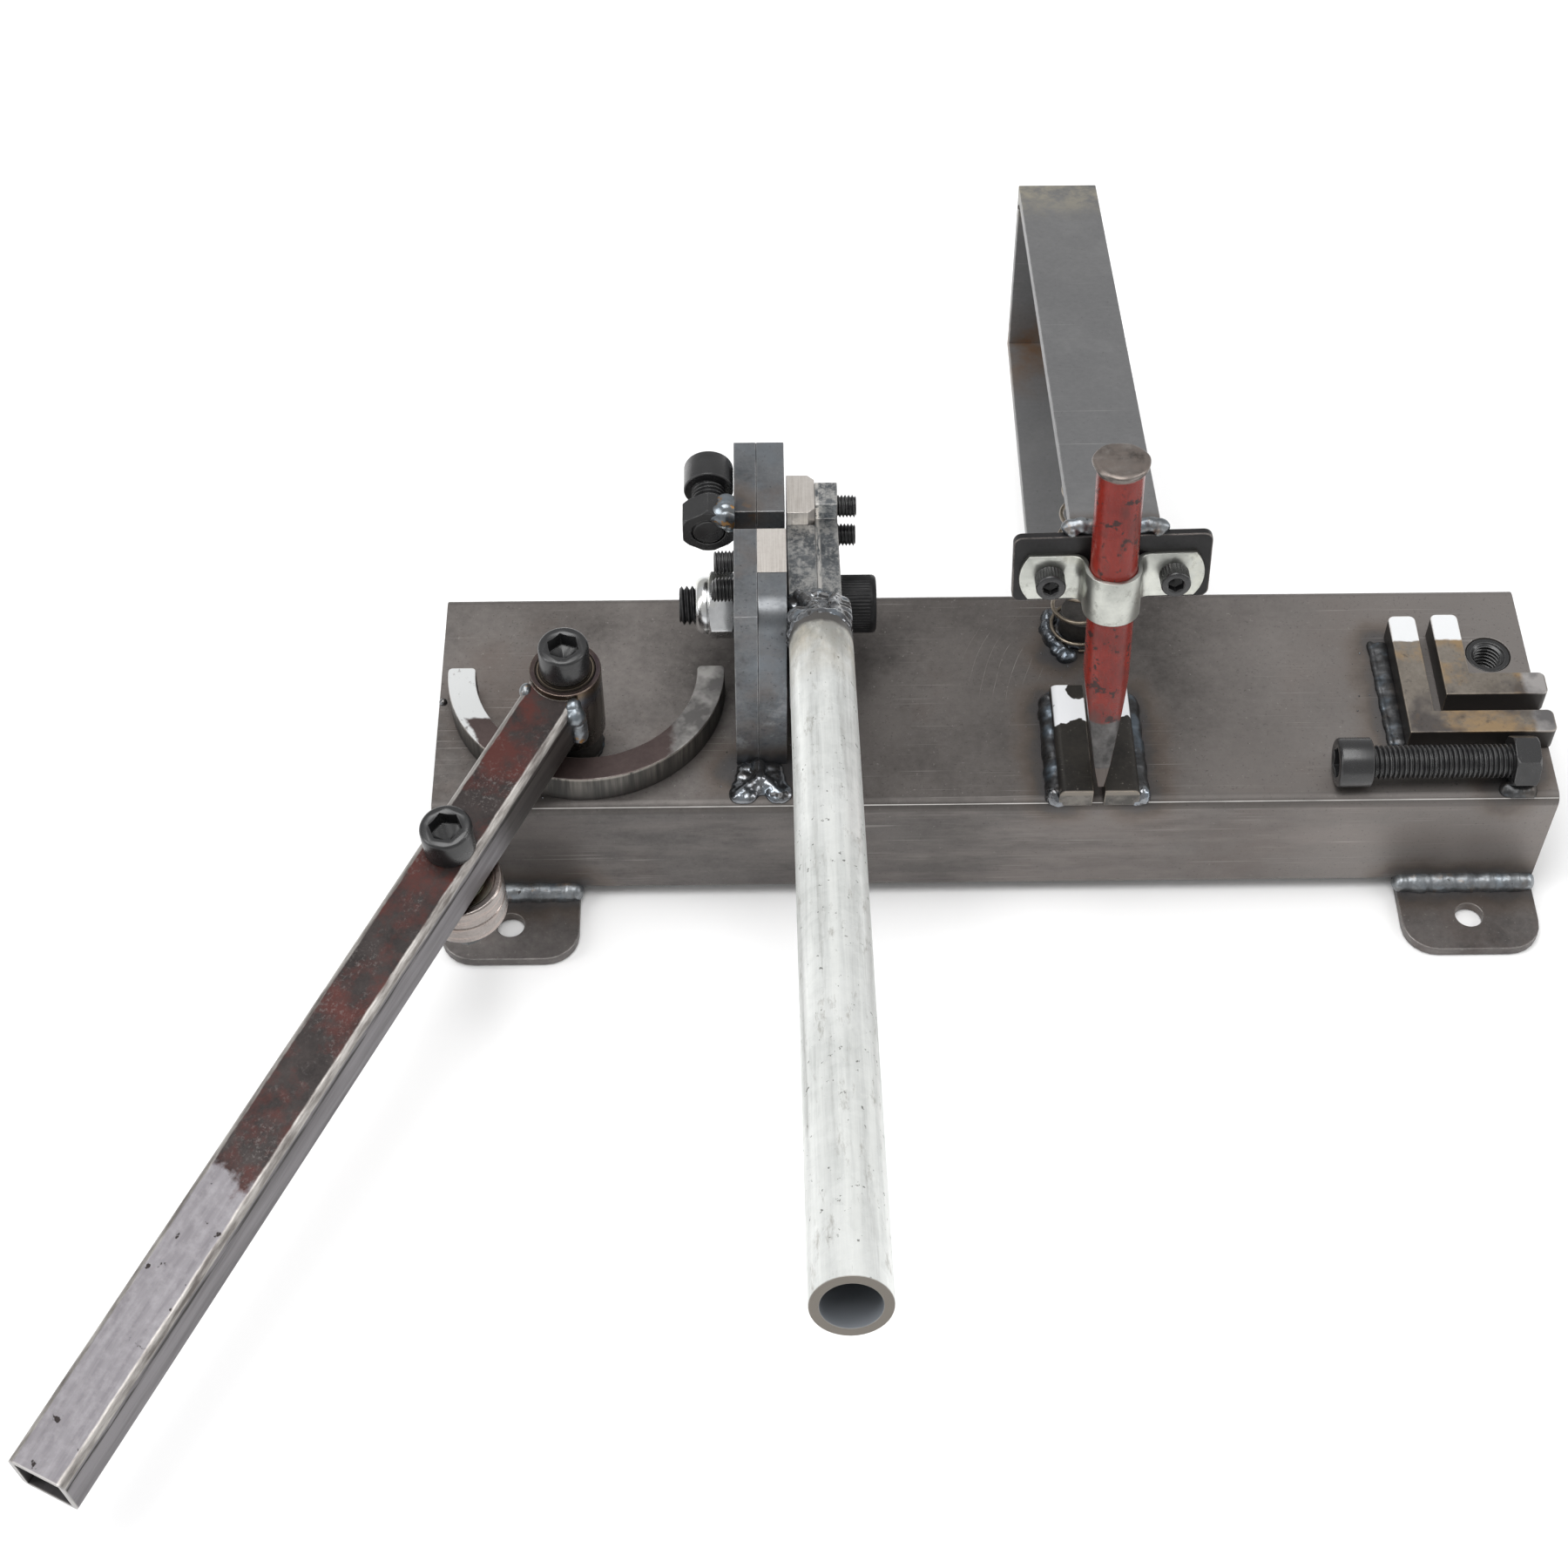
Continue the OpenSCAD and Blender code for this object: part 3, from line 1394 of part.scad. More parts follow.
// An angle of square bar with its outer corner at x, y and a leg of the length l
module angle(x, y, l) {
    translate([0, 0, deck])
        linear_extrude(angle_h)
            polygon([
                [x, y], [angle_end, y], [angle_end, y + angle_bar], [x + angle_bar, y + angle_bar],
                [x + angle_bar, y + l], [x, y + l]
            ]);
}

module outer_angle_die() {
    color([0.42, 0.36, 0.30]) angle(outer_x, outer_y, outer_leg);
}

module inner_angle_die() {
    color([0.42, 0.36, 0.30]) angle(inner_x, inner_y, inner_leg);
}

module tapped_bush() {
    color([0.24, 0.23, 0.23])
        translate([bush_x, bush_y, deck - bush_sunk - bush_h])
            rotate_extrude()
                polygon([
                    [bush_bore / 2, 0], [bush_d / 2, 0], [bush_d / 2, bush_h],
                    [bush_bore / 2 + 1, bush_h], [bush_bore / 2, bush_h - 1]
                ]);
}

module bend_stop_nut() {
    color([0.20, 0.20, 0.21])
        intersection() {
            translate([bend_nut_left, bend_y, bend_z])
                rotate([bend_nut_turn, 0, 0])
                    rotate([0, 90, 0])
                        nut(bend_nut_af, bend_nut_h, screw_d + 2 * run_gap);
            translate([bend_nut_left - 1, bend_y - nut_af, deck])
                cube([bend_nut_h + 2, 2 * nut_af, 2 * nut_af]);
        }
}

module bend_stop_screw() {
    color([0.16, 0.16, 0.17])
        translate([bend_head_x, bend_y, bend_z])
            rotate([0, -90, 0])
                socket_screw(screw_d, bend_screw_l, screw_head_d, screw_head_h, screw_key, screw_key_depth);
}

base_tube();
foot_plate_left();
foot_plate_right();
base_welds();
bender_former();
pivot_boss();
pivot_sleeve();
pivot_screw();
lever_housing();
pivot_bush();
bender_lever();
lever_welds();
roller_screw();
roller_washer();
roller_nut();
bearing_inner_rings();
bearing_balls();
roller_upper();
roller_lower();
shear_plate_left();
shear_plate_right();
fixed_blade();
fixed_blade_screws();
shear_pivot_bolt();
shear_pivot_nut();
stop_nut();
stop_screw();
lever_plate_left();
lever_plate_right();
moving_blade();
moving_blade_screws();
handle_pipe();
handle_weld();
arm_lower_bar();
arm_upright();
arm_upper_bar();
arm_welds();
clamp_plate();
chisel_clip();
clip_screws();
chisel();
spring_post();
return_spring();
slot_die_left();
slot_die_right();
outer_angle_die();
inner_angle_die();
tapped_bush();
bend_stop_nut();
bend_stop_screw();
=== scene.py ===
import json
import random
from math import asin, atan2, ceil, cos, degrees, pi, radians, sin, tan

import bpy
from mathutils import Matrix, Vector


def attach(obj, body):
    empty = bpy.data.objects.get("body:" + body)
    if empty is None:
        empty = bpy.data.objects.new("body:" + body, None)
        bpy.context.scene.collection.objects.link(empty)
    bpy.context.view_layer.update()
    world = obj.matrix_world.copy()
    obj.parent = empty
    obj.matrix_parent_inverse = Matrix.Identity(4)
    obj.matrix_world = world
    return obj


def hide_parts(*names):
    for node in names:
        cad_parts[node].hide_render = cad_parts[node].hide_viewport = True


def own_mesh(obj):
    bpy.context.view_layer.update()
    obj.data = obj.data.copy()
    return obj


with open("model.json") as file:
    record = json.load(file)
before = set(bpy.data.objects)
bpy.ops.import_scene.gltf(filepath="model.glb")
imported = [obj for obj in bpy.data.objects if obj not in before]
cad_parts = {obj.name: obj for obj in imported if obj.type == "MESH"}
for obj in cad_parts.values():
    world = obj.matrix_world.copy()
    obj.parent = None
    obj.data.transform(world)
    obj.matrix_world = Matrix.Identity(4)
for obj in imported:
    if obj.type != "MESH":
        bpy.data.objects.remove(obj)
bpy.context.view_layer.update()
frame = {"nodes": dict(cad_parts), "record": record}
nodes = frame["nodes"]
bpy.ops.object.select_all(action="DESELECT")

# Places, in millimetres as in the CAD
MM = 0.001
DECK = 54.0
PIVOT = Vector((-151.0, -20.5, DECK))
SHEAR_PIVOT = Vector((0.0, 20.0, DECK + 28.3))
ARM_X = 34.5
PIPE_SIDE, PIPE_UP = -63.15, 34.1  # the handle pipe's middle line, seen from the shear's pivot
CHISEL_Y = -228.1  # the chisel's middle line, seen from the arm's fold
EDGE = 0.10163  # height less depth along the base tube's upper front edge, in metres


def turn(angle, axis):
    return Matrix.Rotation(radians(angle), 4, axis)


def move(x, y, z):
    return Matrix.Translation((x, y, z))


AT_LEVER = move(*PIVOT) @ turn(242.7, "Z") @ move(0, 0, 40.3) @ turn(4.18, "Y")
AT_ROLLER = AT_LEVER @ move(79.4, 0, 0)
AT_SHEAR = move(*SHEAR_PIVOT) @ turn(-90, "Z") @ turn(-15.93, "Y")
AT_ARM = move(ARM_X, 199, 124) @ turn(-9.81, "X")
AT_CLAMP = AT_ARM @ move(-0.9, 0, -15) @ turn(-1.36, "Y") @ move(0, 0, 15)


# Shader building
class Value:
    """A number worked out by nodes; arithmetic with it adds Math nodes."""

    def __init__(self, tree, socket):
        self.tree, self.socket = tree, socket

    def __add__(self, other):
        return calc(self.tree, "ADD", self, other)

    def __sub__(self, other):
        return calc(self.tree, "SUBTRACT", self, other)

    def __rsub__(self, other):
        return calc(self.tree, "SUBTRACT", other, self)

    def __mul__(self, other):
        return calc(self.tree, "MULTIPLY", self, other)


def feed(tree, target, value):
    """Gives an input a value, or links it to another node's output."""
    if isinstance(value, Value):
        value = value.socket
    if isinstance(value, bpy.types.NodeSocket):
        tree.links.new(value, target)
    elif isinstance(value, tuple) and len(value) == 3 and len(getattr(target, "default_value", ())) == 4:
        target.default_value = (*value, 1.0)
    else:
        target.default_value = value


def give(tree, node, **values):
    """Feeds a node's inputs by name, a space written as an underscore."""
    for name, value in values.items():
        feed(tree, node.inputs[name.replace("_", " ")], value)
    return node.outputs


def put(tree, kind, *values, **settings):
    """Adds a node, its settings and the values of its inputs in order; None leaves one alone."""
    made = tree.nodes.new("ShaderNode" + kind)
    for name, value in settings.items():
        setattr(made, name, value)
    for target, value in zip(made.inputs, values):
        if value is not None:
            feed(tree, target, value)
    return made


def calc(tree, operation, *values):
    return Value(tree, put(tree, "Math", *values, operation=operation).outputs[0])


def measure(tree, operation, *vectors):
    """A number measured on vectors."""
    return Value(tree, put(tree, "VectorMath", *vectors, operation=operation).outputs["Value"])


def span(tree, value, low, high, to_low=0, to_high=1):
    """Takes low..high to to_low..to_high, and holds it there outside."""
    return Value(tree, put(tree, "MapRange", value, low, high, to_low, to_high).outputs[0])


def blend_colour(tree, factor, first, second):
    made = put(tree, "Mix", data_type="RGBA")
    for place, value in ((0, factor), (6, first), (7, second)):
        feed(tree, made.inputs[place], value)
    return made.outputs[2]


def noise(tree, vector, scale, detail, rough):
    made = put(tree, "TexNoise")
    return Value(tree, give(tree, made, Vector=vector, Scale=scale, Detail=detail, Roughness=rough)[0])


def ramp(tree, value, first, *between_and_last):
    """Colours along a value that goes from 0 to 1: (position, colour) each."""
    made = put(tree, "ValToRGB", value)
    *between, last = between_and_last
    marks = made.color_ramp.elements
    marks[0].position, marks[0].color = first[0], (*first[1], 1)
    marks[1].position, marks[1].color = last[0], (*last[1], 1)
    for position, colour in between:
        marks.new(position).color = (*colour, 1)
    return made.outputs[0]


def new_group(name, inputs, outputs):
    """A shader group with named sockets: returns its tree, its inputs and its output node."""
    tree = bpy.data.node_groups.new(name, "ShaderNodeTree")
    for label, kind, value in inputs:
        made = tree.interface.new_socket(name=label, in_out="INPUT", socket_type="NodeSocket" + kind)
        if value is not None:
            made.default_value = value
    for label, kind in outputs:
        tree.interface.new_socket(name=label, in_out="OUTPUT", socket_type="NodeSocket" + kind)
    return tree, tree.nodes.new("NodeGroupInput").outputs, tree.nodes.new("NodeGroupOutput")


def make_mottled_steel():
    tree, given, out = new_group(
        "Mottled steel",
        [("Vector", "Vector", None), ("Dark", "Color", (0.05, 0.05, 0.05, 1)),
         ("Light", "Color", (0.2, 0.2, 0.2, 1)), ("Patch Scale", "Float", 45.0),
         ("Grain Scale", "Float", 700.0), ("Smooth", "Float", 0.38), ("Rough", "Float", 0.6)],
        [("Color", "Color"), ("Roughness", "Float"), ("Height", "Float")],
    )
    patches = noise(tree, given["Vector"], given["Patch Scale"], 6, 0.62)
    grain = noise(tree, given["Vector"], given["Grain Scale"], 3, 0.7)
    both = span(tree, patches, 0.32, 0.68) * 0.72 + span(tree, grain, 0.35, 0.75) * 0.28
    rough = span(tree, both, 0, 1, given["Rough"], given["Smooth"])
    colour = blend_colour(tree, both, given["Dark"], given["Light"])
    give(tree, out, Color=colour, Roughness=rough, Height=grain * 0.6 + patches * 0.4)
    return tree


def make_worn_edges():
    tree, given, out = new_group(
        "Worn edges",
        [("Vector", "Vector", None), ("Width", "Float", 0.0006), ("Break Scale", "Float", 160.0),
         ("Amount", "Float", 1.0)],
        [("Mask", "Float")],
    )
    rounded = put(tree, "Bevel", given["Width"], samples=6).outputs[0]
    flat = put(tree, "NewGeometry").outputs["Normal"]
    edge = span(tree, 1 - measure(tree, "DOT_PRODUCT", rounded, flat), 0.015, 0.16)
    broken = span(tree, noise(tree, given["Vector"], given["Break Scale"], 5, 0.6), 0.36, 0.6)
    give(tree, out, Mask=edge * broken * given["Amount"])
    return tree


def make_scratches():
    tree, given, out = new_group(
        "Fine scratches",
        [("Vector", "Vector", None), ("Turn", "Vector", (0, 0, 0)), ("Stretch", "Vector", (12, 900, 900)),
         ("Amount", "Float", 1.0)],
        [("Mask", "Float")],
    )
    laid = put(tree, "Mapping", given["Vector"], None, given["Turn"], given["Stretch"]).outputs[0]
    thin = span(tree, noise(tree, laid, 1, 2, 0.5), 0.66, 0.74)
    patchy = span(tree, noise(tree, given["Vector"], 30, 2, 0.5), 0.45, 0.62)
    give(tree, out, Mask=thin * patchy * given["Amount"])
    return tree


def make_seam_distance():
    tree, given, out = new_group(
        "Distance to seam",
        [("Vector", "Vector", None), ("Start", "Vector", (0, 0, 0)), ("End", "Vector", (0, 0, 1))],
        [("Distance", "Float")],
    )

    def between(start, end):
        return put(tree, "VectorMath", end, start, operation="SUBTRACT").outputs[0]

    away, seam = between(given["Start"], given["Vector"]), between(given["Start"], given["End"])
    along, full = measure(tree, "DOT_PRODUCT", away, seam), measure(tree, "DOT_PRODUCT", seam, seam)
    share = put(tree, "Math", along, full, operation="DIVIDE", use_clamp=True).outputs[0]
    near = give(tree, put(tree, "VectorMath", seam, operation="SCALE"), Scale=share)[0]
    give(tree, out, Distance=measure(tree, "LENGTH", between(near, away)))
    return tree


def make_heat_colours():
    tree, given, out = new_group(
        "Heat colours",
        [("Distance", "Float", 0.0), ("Reach", "Float", 0.012), ("Vector", "Vector", None)],
        [("Color", "Color"), ("Mask", "Float")],
    )
    wobble = (noise(tree, given["Vector"], 90, 4, 0.6) - 0.5) * 0.7
    share = calc(tree, "DIVIDE", given["Distance"], given["Reach"]) + wobble
    tint = ramp(
        tree, share,
        (0.0, (0.050, 0.052, 0.057)), (0.25, (0.046, 0.047, 0.052)), (0.42, (0.060, 0.054, 0.052)),
        (0.58, (0.092, 0.072, 0.058)), (0.76, (0.130, 0.100, 0.080)), (1.0, (0.160, 0.135, 0.118)),
    )
    give(tree, out, Color=tint, Mask=span(tree, share, 0.55, 1.1, 1, 0))
    return tree


def make_ragged_patch():
    tree, given, out = new_group(
        "Ragged patch",
        [("Vector", "Vector", None), ("Value", "Float", 0.0), ("Scale", "Float", 150.0),
         ("Raggedness", "Float", 0.5), ("Softness", "Float", 0.04)],
        [("Mask", "Float")],
    )
    torn = noise(tree, given["Vector"], given["Scale"], 5, 0.6) - 0.5
    value = torn * given["Raggedness"] + given["Value"]
    low = calc(tree, "MULTIPLY", given["Softness"], -1)
    give(tree, out, Mask=span(tree, value, low, given["Softness"]))
    return tree


MOTTLED = make_mottled_steel()
WORN = make_worn_edges()
SCRATCHED = make_scratches()
SEAM = make_seam_distance()
HEAT = make_heat_colours()
RAGGED = make_ragged_patch()
SOFT_EDGE = 0.0003


class Finish:
    """A metal finish being built up in layers: colour, roughness, metal share and height.

    It starts as steel mottled between a dark and a light colour, in patches and grains of so many
    to a metre, as smooth as given where it is light and as rough as given where it is dark.
    """

    def __init__(
        self, name, dark, light, patch=45, grain=700, smooth=0.38, rough=0.6, metal=0.85, place=None,
    ):
        self.material = bpy.data.materials.new(name)
        self.material.use_nodes = True
        self.tree = self.material.node_tree
        self.shader = self.tree.nodes["Principled BSDF"]
        self.world = self.put("TexCoord").outputs["Object"]
        self.coords = self.world if place is None else self.local(place)
        body = self.group(MOTTLED, Vector=self.coords, Dark=dark, Light=light, Patch_Scale=patch,
                          Grain_Scale=grain, Smooth=smooth, Rough=rough)
        self.colour, self.rough, self.metal = body["Color"], body["Roughness"], metal
        self.height = Value(self.tree, body["Height"])
        self.bump = 0.00006

    def put(self, kind, *values, **settings):
        return put(self.tree, kind, *values, **settings)

    def group(self, shared, **values):
        made = self.tree.nodes.new("ShaderNodeGroup")
        made.node_tree = shared
        return give(self.tree, made, **values)

    def local(self, place):
        """Object coordinates as seen from a place of the CAD, in metres."""
        where = place.to_translation() * MM
        return self.put("Mapping", self.world, where, place.to_euler(), vector_type="TEXTURE").outputs[0]

    def axes(self, vector=None):
        parts = self.put("SeparateXYZ", self.coords if vector is None else vector).outputs
        return [Value(self.tree, part) for part in parts]

    def calc(self, operation, *values):
        return calc(self.tree, operation, *values)

    def blend(self, factor, first, second):
        return blend_colour(self.tree, factor, first, second)

    def distance(self, spot):
        return measure(self.tree, "DISTANCE", self.world, spot)

    def length(self, *sides):
        return measure(self.tree, "LENGTH", self.put("CombineXYZ", *sides).outputs[0])

    def span(self, *values):
        return span(self.tree, *values)

    def rise(self, value, low, high, most=1):
        """Nothing up to low, most from high on."""
        return span(self.tree, value, low, high, 0, most)

    def fall(self, value, low, high, most=1):
        """Most up to low, nothing from high on."""
        return span(self.tree, value, low, high, most, 0)

    def noise(self, scale, detail=4, rough=0.55, shift=None):
        vector = self.put("Mapping", self.coords, shift).outputs[0] if shift else self.coords
        return noise(self.tree, vector, scale, detail, rough)

    def blots(self, scale, detail, rough, low, high, most=1, shift=None):
        """Blots of a noise: nothing where it is up to low, most from high on."""
        return self.rise(self.noise(scale, detail, rough, shift), low, high, most)

    def drawn(self, stretch, detail, rough, vector=None, shift=None):
        """Noise drawn out along an axis: stretch is its count to a metre along each."""
        laid = self.put("Mapping", self.coords if vector is None else vector, shift, None, stretch)
        return noise(self.tree, laid.outputs[0], 1, detail, rough)

    def over(self, mask, colour, rough=None, metal=None, raised=None):
        """Lays another finish over this one where the mask is 1."""
        self.colour = self.blend(mask, self.colour, colour)
        if rough is not None:
            self.rough = self.span(mask, 0, 1, self.rough, rough)
        if metal is not None:
            self.metal = self.span(mask, 0, 1, self.metal, metal)
        if raised is not None:
            self.height = self.height + self.calc("MULTIPLY", mask, raised)
        return self

    def worn(self, colour, width, amount, scale=160):
        mask = self.group(WORN, Vector=self.coords, Width=width, Amount=amount, Break_Scale=scale)["Mask"]
        return self.over(mask, colour, 0.3)

    def scratched(self, turn, stretch, amount, colour):
        mask = self.group(SCRATCHED, Vector=self.coords, Turn=turn, Stretch=stretch, Amount=amount)["Mask"]
        return self.over(mask, colour, 0.35)

    def heated(self, seams, reach, strength):
        """Heat colours round weld seams, each given as (start, end) in millimetres."""
        nearest = None
        for start, end in seams:
            seam = self.group(SEAM, Vector=self.world, Start=Vector(start) * MM, End=Vector(end) * MM)
            found = seam["Distance"]
            nearest = found if nearest is None else self.calc("MINIMUM", nearest, found)
        tint = self.group(HEAT, Distance=nearest, Reach=reach, Vector=self.world)
        return self.over(self.calc("MULTIPLY", tint["Mask"], strength), tint["Color"])

    def ragged(self, value, scale, raggedness, softness):
        """A patch where a value is above nothing, its edge torn."""
        patch = self.group(
            RAGGED, Vector=self.coords, Value=value, Scale=scale, Raggedness=raggedness, Softness=softness)
        return Value(self.tree, patch["Mask"])

    def painted(self, mask, colour, rough):
        return self.over(mask, colour, rough, 0, 0.6)

    def done(self):
        soft = self.put("Bevel", SOFT_EDGE, samples=4).outputs[0]
        bump = give(self.tree, self.put("Bump"), Strength=0.6, Distance=self.bump, Height=self.height,
                    Normal=soft)
        give(self.tree, self.shader, Base_Color=self.colour, Roughness=self.rough, Metallic=self.metal,
             Normal=bump[0])
        return self.material


# The finishes
FRAME_WELDS = [((-92, -33, 54), (-74, -33, 54)), ((-92, 48, 54), (-74, 48, 54))]
FOOT_WELDS = [((x, side * 50, 4), (x + 50, side * 50, 4)) for x in (-200, 150) for side in (-1, 1)]
DIE_WELDS = [
    ((21.6, -47, 54), (21.6, -6, 54)), ((50, -47, 54), (50, -6, 54)), ((146, -23, 54), (146, 21, 54))]
POST_WELD = [((27, 20, 54), (33, 26, 54))]
NUT_WELD = [((-92, 26, 118), (-92, 33, 118))]
STOP_WELD = [((182, -44, 54), (190, -36, 54))]


def base_scale():
    made = Finish(
        "Base tube scale", (0.062, 0.056, 0.053), (0.225, 0.206, 0.194), 20, 330, 0.36, 0.56, 0.7)
    clouds = made.blots(5.5, 4, 0.6, 0.4, 0.66, 0.7)
    made.over(clouds, (0.215, 0.197, 0.184))
    shade = made.blots(8, 3, 0.5, 0.5, 0.68, 0.6, shift=(0.31, 0.17, 0))
    made.over(shade, (0.092, 0.08, 0.074))
    brown = made.blots(15, 5, 0.65, 0.53, 0.7, 0.45)
    made.over(brown, (0.13, 0.094, 0.078))
    x, y, z = made.axes()
    # Painted shade: the base is painted darker round the frame.
    shade_round_frame = made.rise(x, -0.125, -0.06, 0.42) * made.fall(x, 0.03, 0.12)
    made.over(shade_round_frame, (0.078, 0.07, 0.066))
    # Painted light: the base is painted lighter toward its right end.
    made.over(made.rise(x, 0.06, 0.16, 0.75), (0.225, 0.208, 0.197))
    front = made.fall(y, -0.0499, -0.0496)
    rolled = made.rise(made.drawn((16, 60, 75), 6, 0.68), 0.44, 0.6, 0.6)
    made.over(front * rolled, (0.225, 0.2, 0.186), 0.4)
    # Painted shade: the front face is painted darker toward its left end.
    made.over(front * made.fall(x, -0.12, 0.15, 0.45), (0.08, 0.076, 0.076))
    grit = made.blots(900, 3, 0.7, 0.6, 0.72, 0.6)
    made.over(grit, (0.05, 0.045, 0.043), 0.6)
    dust = made.blots(620, 3, 0.7, 0.66, 0.74, 0.5, shift=(0.1, 0.7, 0.4))
    made.over(dust, (0.36, 0.34, 0.32))
    made.heated(FRAME_WELDS + FOOT_WELDS + DIE_WELDS + POST_WELD + STOP_WELD, 0.015, 0.62)
    made.scratched((0, 0, 0.75), (14, 1500, 1500), 0.55, (0.4, 0.38, 0.36))
    made.scratched((0, 0, -0.5), (17, 1700, 1700), 0.45, (0.38, 0.36, 0.34))
    swung = made.distance((0.084, -0.014, 0.054))
    swung = swung + made.noise(26, 2, 0.5) * 0.006
    arcs = made.rise(made.calc("SINE", swung * (2 * pi / 0.0047)), 0.99, 0.998, 0.8)
    arcs = arcs * (made.fall(x, 0.01, 0.028) * made.rise(x, -0.01, 0.002))
    arcs = arcs * made.fall(y, 0.026, 0.038)
    arcs = arcs * (made.rise(y, -0.004, 0.004) * made.blots(60, 3, 0.6, 0.46, 0.58))
    made.over(arcs, (0.3, 0.28, 0.26), 0.38)
    # Along the rounded upper front edge: a darker band painted to dim its reflection (painted shade), and
    # a thin painted highlight line on the corner.
    rim = z - y - EDGE
    made.over(
        made.rise(rim, -0.00185, -0.0012, 0.5) * made.rise(y, -0.04, -0.045), (0.085, 0.078, 0.074), 0.6)
    made.over(made.ragged(rim, 60, 0.00005, 0.00001), (0.8, 0.78, 0.75), 0.3)
    return made.worn((0.42, 0.41, 0.39), 0.0005, 0.5).done()


def foot_scale():
    made = Finish("Foot plate scale", (0.068, 0.062, 0.06), (0.205, 0.188, 0.18), 34, 420, 0.34, 0.5, 0.7)
    made.over(made.blots(22, 5, 0.65, 0.52, 0.7, 0.5), (0.115, 0.082, 0.07))
    made.over(made.blots(750, 3, 0.7, 0.63, 0.72, 0.6), (0.36, 0.34, 0.32))
    made.heated(FOOT_WELDS, 0.016, 0.6)
    return made.worn((0.46, 0.44, 0.42), 0.0008, 0.9).done()


def arm_scale():
    made = Finish("Arm bar scale", (0.16, 0.162, 0.166), (0.245, 0.245, 0.247), 14, 500, 0.36, 0.5, 0.75)
    made.over(made.blots(36, 5, 0.6, 0.52, 0.72, 0.35), (0.3, 0.3, 0.3))
    made.over(made.blots(700, 3, 0.7, 0.63, 0.72, 0.5), (0.1, 0.1, 0.1))
    y, z = made.axes()[1:]
    fold = made.rise(y, 0.172, 0.19) * made.rise(z, 0.105, 0.118)
    made.over(fold * made.span(made.noise(95, 5, 0.7), 0.42, 0.6, 0.1, 0.95), (0.36, 0.335, 0.275), 0.45)
    corner = made.rise(y, 0.15, 0.182) * made.rise(z, 0.075, 0.056)
    made.over(corner * made.span(made.noise(60, 4, 0.6), 0.4, 0.62, 0.2, 0.95), (0.2, 0.125, 0.075), 0.42)
    made.heated([((20, -17, 160), (32, -17, 160)), ((38, -17, 160), (49, -17, 160))], 0.008, 0.6)
    made.scratched((0, 0, 1.5), (18, 1500, 1500), 0.5, (0.42, 0.42, 0.41))
    return made.worn((0.52, 0.52, 0.51), 0.0007, 0.9).done()


def clamp_scale():
    made = Finish(
        "Clamp plate scale", (0.006, 0.006, 0.0065), (0.02, 0.019, 0.02), 50, 700, 0.32, 0.5, 0.4)
    return made.worn((0.42, 0.37, 0.34), 0.0009, 1, 110).done()


def small_scale():
    made = Finish(
        "Dark scale", (0.036, 0.034, 0.033), (0.125, 0.118, 0.11), patch=60, grain=700, metal=0.7)
    return made.worn((0.34, 0.33, 0.32), 0.0005, 0.8).done()


def lever_scale():
    made = Finish(
        "Lever tube scale", (0.008, 0.0055, 0.0055), (0.036, 0.026, 0.024), 90, 900, 0.28, 0.48, 0.2,
        place=AT_LEVER)
    made.shader.inputs["Specular IOR Level"].default_value = 0.28
    along, across, up = made.axes()
    red = made.blots(38, 5, 0.7, 0.46, 0.6, 0.85)
    made.over(red, (0.066, 0.012, 0.008))
    patches = made.blots(48, 4, 0.65, 0.46, 0.6, shift=(0.4, 0.2, 0.6))
    flecks = patches * made.blots(620, 4, 0.75, 0.52, 0.66, 0.45)
    made.over(flecks, (0.185, 0.168, 0.162), 0.35)
    bare = made.ragged(along - 0.212, 70, 0.045, 0.0025)
    grey = made.drawn((40, 500, 500), 4, 0.6)
    mottle = made.noise(240, 4, 0.7)
    steel = made.blend(made.rise(grey, 0.3, 0.7), (0.145, 0.136, 0.146), (0.205, 0.196, 0.208))
    steel = made.blend(made.rise(mottle, 0.45, 0.68, 0.5), steel, (0.27, 0.26, 0.272))
    made.over(bare, steel, 0.42, 0.6)
    pits = bare * made.blots(175, 3, 0.6, 0.655, 0.69, 0.95)
    made.over(pits, (0.022, 0.016, 0.015), 0.6)
    side = made.rise(across, 0.0092, 0.0099) * made.rise(up, -0.0188, -0.018)
    streak = made.drawn((12, 700, 160), 5, 0.65)
    pale = made.blend(made.rise(streak, 0.34, 0.6), (0.078, 0.071, 0.075), (0.185, 0.175, 0.184))
    deep = made.blend(made.rise(streak, 0.34, 0.6), (0.016, 0.013, 0.012), (0.062, 0.053, 0.05))
    shift = made.ragged(along - 0.062, 40, 0.03, 0.006)
    made.over(side, made.blend(shift, deep, pale), 0.42, 0.6)
    line_low = made.rise(up, -0.0052, -0.0046) * made.fall(up, -0.0034, -0.0028)
    broken = made.rise(made.drawn((45, 300, 500), 4, 0.6), 0.4, 0.52)
    made.over(side * line_low * broken, (0.018, 0.014, 0.012), 0.5)
    corner = made.calc("ABSOLUTE", across) + up - 0.0078
    rub = made.drawn((70, 400, 400), 4, 0.65)
    bright_rub = made.blend(made.rise(rub, 0.36, 0.62), (0.16, 0.145, 0.135), (0.42, 0.4, 0.38))
    made.over(made.ragged(corner, 85, 0.0011, 0.00025), bright_rub, 0.4, 0.8)
    made.over(made.rise(along, 0.3174, 0.3178), (0.34, 0.33, 0.325), 0.4)
    off_middle = made.calc("MAXIMUM", made.calc("ABSOLUTE", across), made.calc("ABSOLUTE", up + 0.01))
    inside = made.fall(off_middle, 0.0079, 0.0082)
    made.over(inside, (0.022, 0.02, 0.018), 0.7)
    return made.worn((0.5, 0.47, 0.44), 0.0008, 0.8, 100).done()


